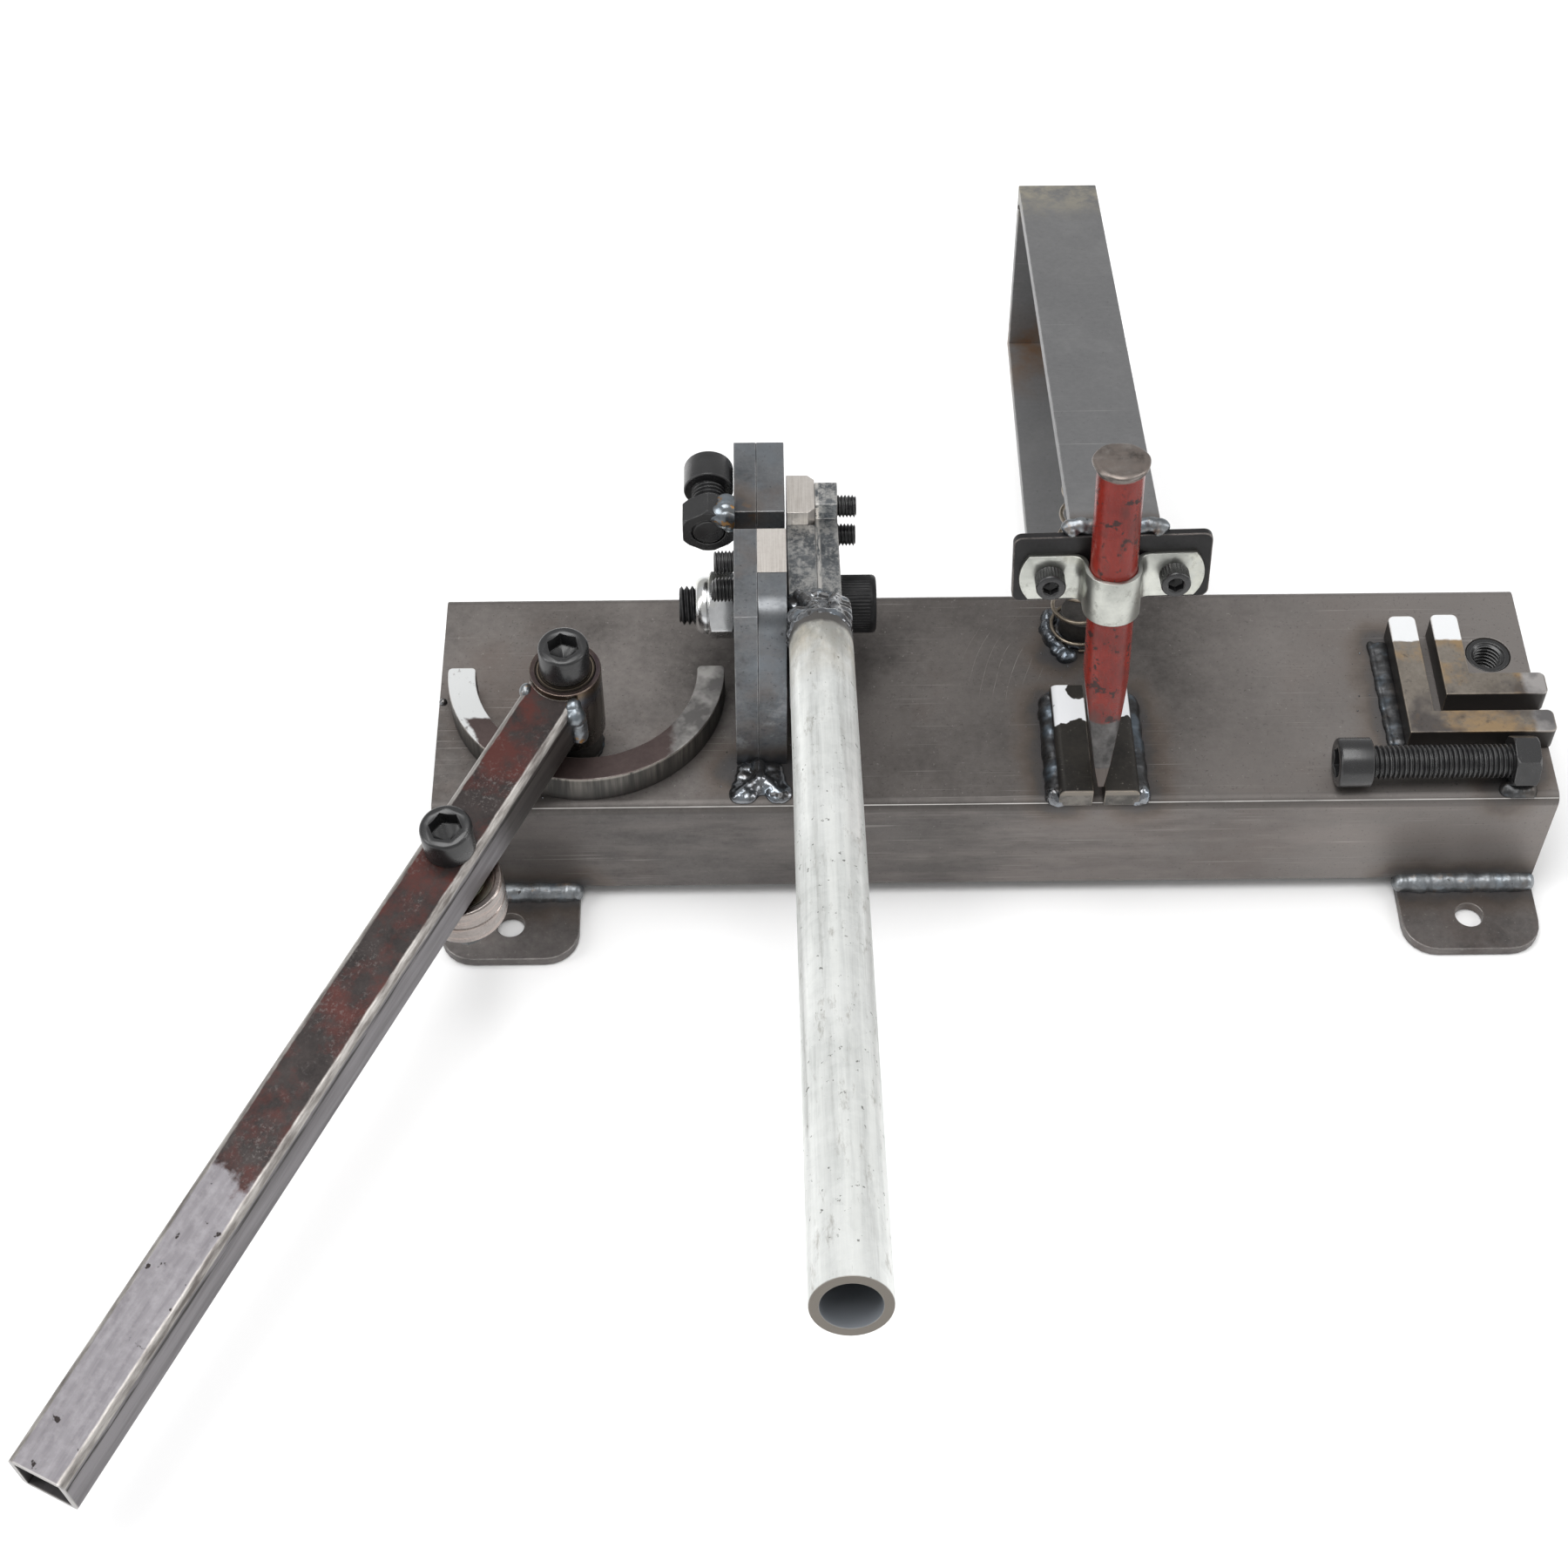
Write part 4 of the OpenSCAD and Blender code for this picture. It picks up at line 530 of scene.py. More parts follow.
def former_finish():
    made = Finish("Former steel", (0.045, 0.03, 0.028), (0.1, 0.072, 0.068), 45, 600, 0.28, 0.46, 0.6)
    x, y, z = made.axes()
    top = made.rise(z, 0.0655, 0.0659)
    saw = made.drawn((420, 420, 22), 3, 0.6)
    sides = made.blend(made.rise(saw, 0.4, 0.72), (0.038, 0.036, 0.033), (0.146, 0.135, 0.121))
    made.over(1 - top, sides, 0.42)
    low = (1 - top) * made.fall(z, 0.054, 0.062, 0.9)
    made.over(low, (0.04, 0.038, 0.036), 0.5)
    upper = (1 - top) * made.rise(z, 0.0646, 0.0656)
    made.over(upper * made.rise(saw, 0.3, 0.5), (0.34, 0.31, 0.275), 0.4)
    ground = top * made.ragged(x + 0.1145, 90, 0.01, 0.0012)
    polish = made.blend(made.blots(60, 4, 0.6, 0.42, 0.6), (0.11, 0.105, 0.102), (0.36, 0.35, 0.335))
    made.over(ground, polish, 0.38)
    slanted = y * -0.53 - x - 0.1985
    tip = made.calc("MINIMUM", made.calc("MAXIMUM", y + 0.018, slanted), -0.165 - x)
    tip = made.ragged(tip, 110, 0.006, 0.0006)
    large_flaws = made.span(made.noise(150, 4, 0.7), 0.6, 0.66, 1, 0.35)
    flaws = large_flaws * made.span(made.noise(520, 3, 0.7), 0.66, 0.71, 1, 0.6)
    made.painted(top * tip * flaws, (0.52, 0.53, 0.53), 0.45)
    return made.worn((0.44, 0.41, 0.38), 0.0008, 1, 120).done()


def housing_finish():
    made = Finish("Housing steel", (0.028, 0.022, 0.019), (0.11, 0.094, 0.084), 50, 500, 0.18, 0.38, 0.9)
    centred = made.local(move(*PIVOT))
    z = made.axes(centred)[2]
    bands = made.rise(made.drawn((260, 260, 14), 3, 0.6, centred), 0.44, 0.64, 0.7)
    made.over(bands, (0.2, 0.175, 0.155), 0.3)
    height = made.rise(z + made.noise(70) * 0.004, 0.029, 0.0445)
    tint = ramp(
        made.tree, height, (0, (0.06, 0.045, 0.04)), (0.35, (0.068, 0.058, 0.076)),
        (0.6, (0.08, 0.098, 0.125)), (0.84, (0.165, 0.118, 0.07)), (1, (0.066, 0.046, 0.062)))
    made.over(made.rise(z, 0.031, 0.037, 0.75), tint, 0.2)
    return made.worn((0.34, 0.27, 0.2), 0.0006, 0.9).done()


def polished(name, dark, light, rough=0.22):
    made = Finish(name, dark, light, 80, 900, rough, rough + 0.12, 1)
    return made.scratched((0, 0, 0.4), (40, 1500, 1500), 0.4, (0.55, 0.54, 0.52)).done()


def ringed_bush():
    """Turned rings with painted shade in the dark grooves between them, seen at the top of the housing."""
    made = Finish("Bush steel", (0.045, 0.036, 0.028), (0.15, 0.12, 0.09), 70, 900, 0.2, 0.36, 0.9)
    x, y = made.axes(made.local(move(*PIVOT)))[:2]
    out = made.length(x, y, 0)
    wave = made.calc("SINE", out * (2 * pi / 0.00105))
    # Painted shade: the grooves between the rings are painted dark.
    made.over(made.fall(wave, -0.1, 0.5, 0.85), (0.012, 0.01, 0.009), 0.5, None, -0.5)
    return made.over(made.rise(wave, 0.75, 1, 0.8), (0.34, 0.28, 0.21), 0.25).done()


def bearing_steel():
    made = Finish(
        "Bearing steel", (0.22, 0.195, 0.182), (0.35, 0.315, 0.296), 55, 900, 0.2, 0.34, 1,
        place=AT_ROLLER)
    x, y = made.axes()[:2]
    out = made.length(x, y, 0)
    shield = made.fall(out, 0.0124, 0.0126)
    made.over(shield, (0.3, 0.31, 0.235), 0.2)
    groove = made.rise(out, 0.0117, 0.012) * made.fall(out, 0.0125, 0.0127)
    made.over(groove, (0.035, 0.035, 0.028), 0.5)
    made.over(made.rise(made.drawn((50, 50, 500), 3, 0.6), 0.5, 0.66, 0.7), (0.44, 0.35, 0.31), 0.3)
    return made.scratched((0, 0, 0.4), (40, 1500, 1500), 0.4, (0.55, 0.54, 0.52)).done()


def cut_plate(name, dark, light):
    made = Finish(name, dark, light, 34, 520, 0.3, 0.52, 0.75)
    made.over(made.blots(26, 5, 0.65, 0.5, 0.66, 0.7), (0.175, 0.195, 0.215), 0.32)
    made.over(made.blots(30, 5, 0.7, 0.54, 0.68, 0.35, shift=(0.3, 0.1, 0.2)), (0.15, 0.112, 0.09))
    made.over(made.blots(700, 3, 0.7, 0.62, 0.72, 0.7), (0.035, 0.035, 0.038), 0.6)
    made.over(made.blots(55, 5, 0.75, 0.6, 0.7, 0.6, shift=(0.7, 0.3, 0.9)), (0.28, 0.285, 0.29), 0.36)
    near = made.group(
        SEAM, Vector=made.world, Start=Vector((-96, 27, 122)) * MM, End=Vector((-89, 28, 120)) * MM
    )["Distance"]
    rusty = made.fall(near, 0.002, 0.008) * made.blots(230, 4, 0.7, 0.52, 0.6)
    made.over(rusty, (0.34, 0.17, 0.055), 0.6)
    made.heated(FRAME_WELDS + NUT_WELD, 0.012, 0.7)
    made.scratched((0.9, 0, 0), (900, 25, 900), 0.5, (0.36, 0.36, 0.37))
    return made.worn((0.46, 0.46, 0.46), 0.0008, 1, 120).done()


def lever_plate_steel():
    made = Finish(
        "Lever plate steel", (0.062, 0.069, 0.076), (0.215, 0.23, 0.242), 60, 480, 0.24, 0.46, 0.8,
        place=AT_SHEAR)
    ahead, right, up = made.axes()
    top = made.rise(up, 0.0322, 0.0329)
    ground = made.drawn((110, 190, 400), 5, 0.75)
    grains = made.noise(650, 3, 0.7)
    both = ground * 0.7 + grains * 0.3
    near_weld = made.rise(ahead, 0.022, 0.056) * made.span(right, -0.07, -0.056, 0.55, 1)
    bared = both - (1 - near_weld) * 0.035
    made.over(top * made.rise(bared, 0.43, 0.56, 0.9), (0.46, 0.455, 0.44), 0.34)
    seam = made.fall(made.calc("ABSOLUTE", right + 0.06255), 0.0003, 0.001)
    seam_breaks = made.rise(made.drawn((90, 500, 500), 3, 0.6), 0.42, 0.52)
    made.over(top * seam * seam_breaks, (0.6, 0.58, 0.55), 0.35)
    made.heated([((-70, -37, 130), (-57, -37, 130))], 0.01, 0.8)
    return made.worn((0.5, 0.49, 0.47), 0.001, 1, 110).done()


def ground_blade():
    made = Finish("Ground blade", (0.44, 0.405, 0.37), (0.68, 0.64, 0.6), 38, 700, 0.3, 0.42, 0.75)
    lines = made.drawn((2200, 60, 60), 2, 0.5)
    made.over(made.rise(lines, 0.4, 0.7, 0.4), (0.78, 0.75, 0.71))
    made.over(made.blots(90, 4, 0.7, 0.6, 0.68, 0.45), (0.42, 0.37, 0.33))
    return made.worn((0.8, 0.78, 0.75), 0.0004, 0.7).done()


def black_oxide(name="Black oxide", gloss=0.64, smooth=0.22):
    made = Finish(name, (0.006, 0.006, 0.0065), (0.02, 0.02, 0.021), 120, 1200, smooth, smooth + 0.14, 0)
    made.bump = 0.00003
    made.shader.inputs["Specular IOR Level"].default_value = gloss
    made.over(made.blots(500, 3, 0.7, 0.68, 0.74, 0.25), (0.1, 0.1, 0.1), 0.4)
    return made.worn((0.22, 0.22, 0.22), 0.0005, 0.6, 220).done()


def zinc(name="Zinc plating", dark=(0.42, 0.43, 0.4), light=(0.64, 0.65, 0.6), rough=0.27):
    made = Finish(name, dark, light, 75, 420, rough, rough + 0.14, 1)
    made.over(made.blots(190, 4, 0.75, 0.57, 0.64, 0.55), (0.3, 0.3, 0.27), 0.45)
    made.over(made.blots(60, 4, 0.6, 0.52, 0.66, 0.5, shift=(0.2, 0.9, 0.3)), (0.62, 0.61, 0.5))
    return made.worn((0.8, 0.8, 0.76), 0.0004, 0.5).done()


def galvanised():
    made = Finish(
        "Galvanised pipe", (0.5, 0.515, 0.5), (0.75, 0.765, 0.75), 26, 330, 0.34, 0.52, 0.55,
        place=AT_SHEAR)
    along, right, up = made.axes()
    beside = right - PIPE_SIDE * MM
    above = up - PIPE_UP * MM
    centred = made.put("CombineXYZ", along, beside, above).outputs[0]
    out = made.length(0, beside, above)
    drawn = made.drawn((11, 260, 260), 5, 0.65, centred)
    made.over(made.rise(drawn, 0.46, 0.62, 0.55), (0.83, 0.845, 0.82), 0.36)
    made.over(made.fall(drawn, 0.33, 0.44, 0.6), (0.36, 0.365, 0.35), 0.5)
    tone = made.axes(made.put("TexVoronoi", centred, None, 260).outputs["Color"])[0]
    made.over(made.rise(tone, 0, 1, 0.18), (0.92, 0.93, 0.91))
    dirt = made.drawn((60, 190, 190), 5, 0.75, centred, shift=(0.2, 0.4, 0.1))
    made.over(made.rise(dirt, 0.57, 0.68, 0.55), (0.27, 0.255, 0.225), 0.5)
    made.over(made.blots(420, 3, 0.6, 0.665, 0.7, 0.85), (0.12, 0.12, 0.11), 0.6)
    near = made.fall(along, 0.074, 0.112) * made.span(made.noise(120, 5, 0.65), 0.38, 0.6, 0.2, 0.95)
    made.over(near, (0.5, 0.44, 0.33), 0.5)
    smoked = made.span(
        made.drawn((50, 110, 110), 5, 0.7, centred, shift=(0.7, 0.1, 0.3)), 0.36, 0.58, 0.15, 0.85)
    made.over(made.fall(along, 0.08, 0.116) * smoked, (0.235, 0.235, 0.22), 0.48)
    made.over(made.ragged(0.0795 - along, 150, 0.006, 0.001), (0.085, 0.08, 0.075), 0.4)
    made.over(made.fall(out, 0.008, 0.00815), (0.2, 0.215, 0.235), 0.6, 0.2)
    cut_end = made.rise(along, 0.3676, 0.3679) * made.rise(out, 0.0079, 0.0081)
    made.over(cut_end, (0.215, 0.195, 0.17), 0.48)
    return made.worn((0.52, 0.5, 0.46), 0.0004, 0.7).done()


def weld_metal(name, dark, light, ripple=(0, 0, 0), shine=0.2, gold=0, glassy=0.66):
    """Weld metal, with fine ripples across the way it was laid; ripple gives their count per metre."""
    made = Finish(name, dark, light, 120, 900, shine, shine + 0.16, 0.95)
    hue = made.noise(130, 3, 0.5)
    made.over(made.rise(hue, 0.54, 0.66, 0.6), made.blend(0.5, light, (0.17, 0.24, 0.31)))
    made.over(made.fall(hue, 0.34, 0.42, 0.45), (0.11, 0.09, 0.074), shine + 0.2)
    glass = made.blots(170, 3, 0.55, glassy, glassy + 0.03, 0.92)
    made.over(glass, (0.016, 0.014, 0.013), 0.12, 0.1)
    if gold:
        made.over(
            made.blots(210, 4, 0.7, 0.58, 0.63, gold, shift=(0.5, 0.1, 0.7)), (0.32, 0.175, 0.065), 0.45)
    if any(ripple):
        waves = made.drawn(ripple, 2, 0.4)
        made.height = made.height + waves * 0.8
        # Painted shade: the ripples' troughs are painted darker.
        made.over(made.fall(waves, 0.36, 0.48, 0.4), dark)
    made.bump = 0.0001
    return made.done()


def slot_die_steel():
    made = Finish(
        "Slotted die steel", (0.013, 0.012, 0.011), (0.048, 0.043, 0.037), 70, 600, 0.3, 0.5, 0.5)
    x, y, z = made.axes()
    top = made.rise(z, 0.0606, 0.0612)
    front = made.fall(y, -0.0508, -0.0502)
    made.over(
        front,
        made.blend(made.blots(120, 5, 0.7, 0.4, 0.62), (0.062, 0.058, 0.052), (0.165, 0.152, 0.135)), 0.42)
    made.over(front * made.rise(z, 0.0596, 0.0603), (0.19, 0.168, 0.142), 0.42)
    made.scratched((0, 0, 0.2), (20, 1300, 1300), 0.8, (0.26, 0.24, 0.22))
    made.over(made.blots(560, 3, 0.7, 0.65, 0.71, 0.6), (0.24, 0.22, 0.2), 0.45)
    wobble = (made.noise(170, 3, 0.5) - 0.5) * 0.01
    start = made.span(x, 0.034, 0.037, -0.0196, -0.015) + wobble
    white = made.rise(y - start, -0.0002, 0.0002)
    for spot, radius in (
        ((0.0318, -0.0046, 0.062), 0.004), ((0.0214, -0.0112, 0.062), 0.0018),
        ((0.044, -0.004, 0.062), 0.0034),
    ):
        apart = made.distance(spot)
        edge = apart + wobble * 0.5 - radius
        white = white * made.rise(edge, -0.0002, 0.0002)
    made.painted(top * white, (0.8, 0.81, 0.83), 0.5)
    return made.worn((0.36, 0.31, 0.25), 0.0008, 1, 130).done()


def angle_die_steel(name, white_y, right_end):
    made = Finish(name, (0.13, 0.113, 0.094), (0.345, 0.308, 0.265), 42, 520, 0.27, 0.46, 0.75)
    x, y, z = made.axes()
    top = made.rise(z, 0.0632, 0.0638)
    made.over(made.blots(36, 5, 0.65, 0.47, 0.57, 0.9), (0.39, 0.27, 0.15), 0.3)
    made.over(made.blots(33, 4, 0.6, 0.52, 0.62, 0.75, shift=(0.2, 0.5, 0.1)), (0.075, 0.068, 0.07), 0.35)
    made.over(made.blots(420, 4, 0.7, 0.58, 0.68, 0.5), (0.05, 0.045, 0.042), 0.5)
    made.over(1 - top, (0.05, 0.046, 0.043), 0.45)
    ends = top * made.ragged(x - right_end, 90, 0.006, 0.001)
    made.over(
        ends, made.blend(made.rise(made.noise(80), 0.4, 0.6), (0.16, 0.155, 0.155), (0.42, 0.4, 0.39)),
        0.36)
    made.over(made.rise(x, 0.2002, 0.2006), (0.24, 0.225, 0.21), 0.4)
    made.painted(top * made.ragged(y - (white_y - 0.0025), 120, 0.004, 0.0004), (0.68, 0.69, 0.7), 0.5)
    return made.worn((0.46, 0.39, 0.31), 0.0009, 1, 130).done()


def red_paint():
    made = Finish(
        "Worn red paint", (0.142, 0.011, 0.008), (0.262, 0.027, 0.017), 70, 500, 0.18, 0.32, 0,
        place=AT_CLAMP @ move(0, CHISEL_Y, 0))
    made.shader.inputs["Specular IOR Level"].default_value = 0.32
    z = made.axes()[2]
    steel = made.noise(140, 5, 0.65)
    bare_steel = made.blend(made.rise(steel, 0.35, 0.65), (0.075, 0.066, 0.06), (0.3, 0.275, 0.255))
    cloudy = made.rise(made.drawn((120, 120, 45), 5, 0.7), 0.48, 0.64, 0.6)
    made.over(cloudy, (0.07, 0.022, 0.018), 0.34)
    spots = made.calc(
        "MAXIMUM", made.blots(150, 4, 0.7, 0.59, 0.615, 0.9), made.blots(430, 3, 0.6, 0.66, 0.7, 0.8))
    made.over(spots, (0.022, 0.012, 0.011), 0.45)
    rubbed = made.fall(z, -0.076, -0.056) * made.blots(100, 4, 0.7, 0.46, 0.56, 0.8)
    made.over(rubbed, (0.06, 0.04, 0.036), 0.42)
    made.over(made.ragged(z - 0.0296, 200, 0.0016, 0.0003), bare_steel, 0.36, 0.9)
    crown = made.rise(z, 0.0322, 0.0328) * made.span(made.noise(180, 4, 0.7), 0.36, 0.6, 0.15, 0.85)
    made.over(crown, (0.225, 0.19, 0.17), 0.42, 0.9)
    tip = made.ragged(-0.0718 - z, 160, 0.003, 0.0004)
    bare_tip = made.blend(made.blots(160, 4, 0.6, 0.35, 0.65), (0.05, 0.048, 0.047), (0.135, 0.13, 0.128))
    made.over(tip, bare_tip, 0.36, 0.8)
    made.over(made.ragged(-0.0925 - z, 200, 0.0006, 0.0002), (0.105, 0.09, 0.082), 0.38, 0.8)
    return made.worn((0.17, 0.045, 0.032), 0.0006, 0.6, 200).done()


def spring_wire():
    return Finish("Spring wire", (0.15, 0.125, 0.095), (0.36, 0.31, 0.25), 200, 900, 0.28, 0.42, 1).done()


# Modelling, in millimetres
COS_30 = cos(radians(30))
M8, M12, M14 = (4, 1.25), (6, 1.75), (7, 2)
OUTWARD = ("normals_make_consistent", {"inside": False})


def hold(piece):
    """Makes a piece the only one selected, and active."""
    bpy.ops.object.select_all(action="DESELECT")
    piece.select_set(True)
    bpy.context.view_layer.objects.active = piece
    return piece


def settle():
    """Puts the active piece's place into its mesh."""
    bpy.ops.object.transform_apply(location=True, rotation=True, scale=True)
    return bpy.context.object


def edit(piece, *steps):
    """Runs mesh operators on the whole piece: (name, settings) each."""
    hold(piece)
    bpy.ops.object.mode_set(mode="EDIT")
    for name, settings in steps:
        bpy.ops.mesh.select_all(action="SELECT")
        getattr(bpy.ops.mesh, name)(**settings)
    bpy.ops.object.mode_set(mode="OBJECT")
    return piece


def modify(piece, kind, **settings):
    """Adds a modifier to a piece and applies it."""
    hold(piece)
    made = piece.modifiers.new(kind.title(), kind)
    for name, value in settings.items():
        setattr(made, name, value)
    bpy.ops.object.modifier_apply(modifier=made.name)
    return piece


def bevel(piece, width, angle):
    """Bevels the edges that are sharper than an angle, in two steps."""
    return modify(
        piece, "BEVEL", width=width, segments=2, limit_method="ANGLE", angle_limit=radians(angle))


def cut(piece, tool, operation="DIFFERENCE"):
    modify(piece, "BOOLEAN", object=tool, operation=operation, solver="EXACT")
    bpy.data.objects.remove(tool)
    return piece


def join(pieces):
    hold(pieces[0])
    for piece in pieces:
        piece.select_set(True)
    bpy.ops.object.join()
    return bpy.context.object


def again(piece):
    """A copy of a piece with its own mesh."""
    made = piece.copy()
    made.data = piece.data.copy()
    bpy.context.collection.objects.link(made)
    return made


def turned(rings, sides=64):
    """A shape turned on a lathe: a disc drawn out through rings of (radius, height)."""
    (radius, height), *others = rings
    bpy.ops.mesh.primitive_circle_add(
        vertices=sides, radius=radius, location=(0, 0, height), fill_type="NGON")
    piece = settle()
    bpy.ops.object.mode_set(mode="EDIT")
    bpy.ops.mesh.select_all(action="SELECT")
    for next_radius, next_height in others:
        bpy.ops.mesh.extrude_region_move(TRANSFORM_OT_translate={"value": (0, 0, next_height - height)})
        scale = next_radius / radius
        bpy.ops.transform.resize(value=(scale, scale, 1))
        radius, height = next_radius, next_height
    bpy.ops.object.mode_set(mode="OBJECT")
    return edit(piece, OUTWARD)


def hexagon(flats, low, high):
    """A hexagonal bar standing on its end, a flat toward the first axis."""
    bpy.ops.mesh.primitive_cylinder_add(
        vertices=6, radius=flats / 2 / COS_30, depth=high - low, location=(0, 0, (low + high) / 2))
    return settle()


def line(points):
    """A row of joined points, drawn out from one."""
    bpy.ops.mesh.primitive_plane_add(size=1)
    piece = bpy.context.object
    bpy.ops.object.mode_set(mode="EDIT")
    bpy.ops.mesh.select_all(action="SELECT")
    bpy.ops.mesh.merge(type="CENTER")
    bpy.ops.transform.translate(value=points[0])
    for start, end in zip(points, points[1:]):
        bpy.ops.mesh.extrude_vertices_move(TRANSFORM_OT_translate={"value": Vector(end) - Vector(start)})
    bpy.ops.object.mode_set(mode="OBJECT")
    return piece


def wound_thread(radius, pitch, low, high, steps=40):
    """The outside of a screw thread, closed at both ends, which run past the two heights."""
    root = radius - 0.6 * pitch
    foot = low - 1.6 * pitch
    marks = ((root, 0), (root, 0.14), (radius, 0.46), (radius, 0.62), (root, 1))
    piece = line([(r, 0, foot + share * pitch) for r, share in marks])
    turns = ceil((high - low) / pitch) + 3
    modify(
        piece, "SCREW", axis="Z", screw_offset=pitch, iterations=turns, steps=steps, render_steps=steps)
    return edit(piece, ("remove_doubles", {"threshold": 0.002}), ("fill_holes", {"sides": 0}), OUTWARD)


def thread(radius, pitch, low, high, point):
    """A cut thread between two heights, its lower end chamfered."""
    blank = turned([(radius - point, low), (radius + 0.1, low + 0.8 * point), (radius + 0.1, high)], 48)
    return cut(wound_thread(radius, pitch, low, high), blank, "INTERSECT")


def socket_head(radius, height, key, depth, ridges=0):
    """The head of a socket screw standing on the origin, with its hexagon and the drill's cone in it."""
    rim = 0.09 * radius
    rings = [
        (radius - 0.5 * rim, 0), (radius, 0.5 * rim), (radius, height - 1.5 * rim),
        (radius - 0.35 * rim, height - 0.6 * rim), (radius - rim, height - 0.12 * rim),
        (radius - 1.3 * rim, height)]
    if ridges:
        rings[2:3] = [
            (radius, 0.1 * height), (radius, 0.8 * height), (radius, 0.86 * height),
            (radius, height - 1.5 * rim)]
    piece = turned(rings, ridges * 2 if ridges else 96)
    if ridges:
        hold(piece)
        for number, vertex in enumerate(piece.data.vertices):
            level = vertex.co.z
            around = atan2(vertex.co.y, vertex.co.x) / pi * ridges
            vertex.select = round(around) % 2 == 0 and 0.08 * height < level < 0.83 * height
        for edge in piece.data.edges:
            edge.select = False
        for face in piece.data.polygons:
            face.select = False
        bpy.ops.object.mode_set(mode="EDIT")
        bpy.ops.transform.resize(value=(1 - 0.36 / radius, 1 - 0.36 / radius, 1))
        bpy.ops.object.mode_set(mode="OBJECT")
    corner = key / 2 / COS_30
    bottom, drill = height - depth, corner * 0.93
    cut(piece, hexagon(key, bottom, height + 1))
    cut(piece, turned([(0.02, bottom - 0.34 * key), (drill, bottom + 0.01), (drill, bottom + 0.3)], 6))
    mouth = [(key / 2 - 0.05, height - 0.5), (corner + 0.3, height + 0.1), (corner + 0.3, height + 1)]
    return cut(piece, turned(mouth, 48))


def socket_screw(size, length, head_radius, head_height, key, depth, threaded, ridges=0):
    """A socket head screw pointing down, the underside of its head at the origin."""
    radius, pitch = size
    parts = [socket_head(head_radius, head_height, key, depth, ridges)]
    if threaded < length - 1:
        parts.append(turned([(radius, 0.5 - length + threaded), (radius, 0.4)], 48))
    parts.append(thread(radius, pitch, -length, threaded - length + 1, 0.075 * radius * 2))
    return join(parts)


def countersunk_screw(length, threaded):
    """An M8 countersunk screw pointing down, the face of its head at the origin."""
    head = turned([(4, threaded - length), (4, -1.5), (5.5, -0.02), (5.5, 0)], 48)
    cut(head, hexagon(5, -2.5, 1))
    return join([head, thread(*M8, -length, threaded - length + 0.5, 0.8)])


def hex_nut(flats, height):
    """A hexagon nut's body with both its faces chamfered, standing on the origin."""
    corner = flats / 2 / COS_30
    face = 0.96 * flats / 2
    fall = (corner - face) * tan(radians(30))
    blank = turned([(face, 0), (corner + 0.2, fall), (corner + 0.2, height - fall), (face, height)], 96)
    return cut(hexagon(flats, 0, height), blank, "INTERSECT")


SPARK = random.Random(7)


def drop(width, length, height, spot, heading=0):
    """One drop of weld: a flattened ball, laid along its heading."""
    bpy.ops.mesh.primitive_uv_sphere_add(segments=20, ring_count=12, radius=1)
    piece = bpy.context.object
    piece.scale = (length, width, height)
    piece.rotation_euler = (0, 0, heading)
    piece.location = spot
    return settle()


def bead(path, width, height, pitch=1.5, swell=0.05):
    """Drops laid along a path at even steps, swelling slowly as the hand that laid them moved."""
    wander, length = 0.03, pitch * 2.1
    drops, beat = [], SPARK.uniform(0, 6.3)
    for start, end in zip(path, path[1:]):
        start, end = Vector(start), Vector(end)
        way = end - start
        count = max(1, round(way.length / pitch))
        heading = atan2(way.y, way.x)
        for number in range(count + 1):
            beat += pitch / 9 * 6.3
            wave = 1 + swell * sin(beat)
            wide = width * wave * SPARK.uniform(1 - wander, 1 + wander)
            high = height * wave * SPARK.uniform(1 - wander, 1 + wander)
            spot = start + way * (number / count) + Vector(
                (SPARK.uniform(-0.1, 0.1), SPARK.uniform(-0.1, 0.1), 0))
            drops.append(drop(wide, length, high, spot, heading))
    return drops


def fuse(drops, voxel, smooth=2, uneven=0, lumps=4):
    """Melts drops into one bead, its surface uneven by so much over lumps of that size."""
    piece = modify(join(drops), "REMESH", mode="VOXEL", voxel_size=voxel, adaptivity=0)
    modify(piece, "SMOOTH", factor=0.5, iterations=smooth)
    if uneven:
        clouds = bpy.data.textures.new("Molten lumps", "CLOUDS")
        clouds.noise_scale = lumps
        modify(piece, "DISPLACE", texture=clouds, strength=uneven, mid_level=0.5, texture_coords="LOCAL")
        modify(piece, "SMOOTH", factor=0.5, iterations=2)
    return piece


def face_off(piece, *planes):
    """Cuts a piece flat at each plane, given as (point, the way that goes)."""
    for point, away in planes:
        way = Vector(away).normalized()
        edit(
            piece, ("bisect", {"plane_co": point, "plane_no": way, "use_fill": True, "clear_outer": True}))
    return piece


BODY_OF = {node: body for body, held in frame["record"]["behaviour"]["bodies"].items() for node in held}


def dress(piece, name, finish, extra=False):
    """Gives a piece its finish and the body of the CAD node it stands for, and hides that node
    unless the piece is extra beside it."""
    piece.data.materials.clear()
    piece.data.materials.append(finish)
    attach(piece, BODY_OF[name])
    if not extra:
        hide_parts(name)
    piece.select_set(False)


def seat(piece, name, node, finish, at=Matrix(), smooth=35, extra=False):
    """Names a finished piece, puts it in its place and dresses it as a CAD node."""
    piece.name = piece.data.name = name
    hold(piece)
    piece.data.transform(Matrix.Scale(MM, 4) @ at)
    bpy.ops.object.shade_smooth_by_angle(angle=radians(smooth))
    dress(piece, node, finish, extra)


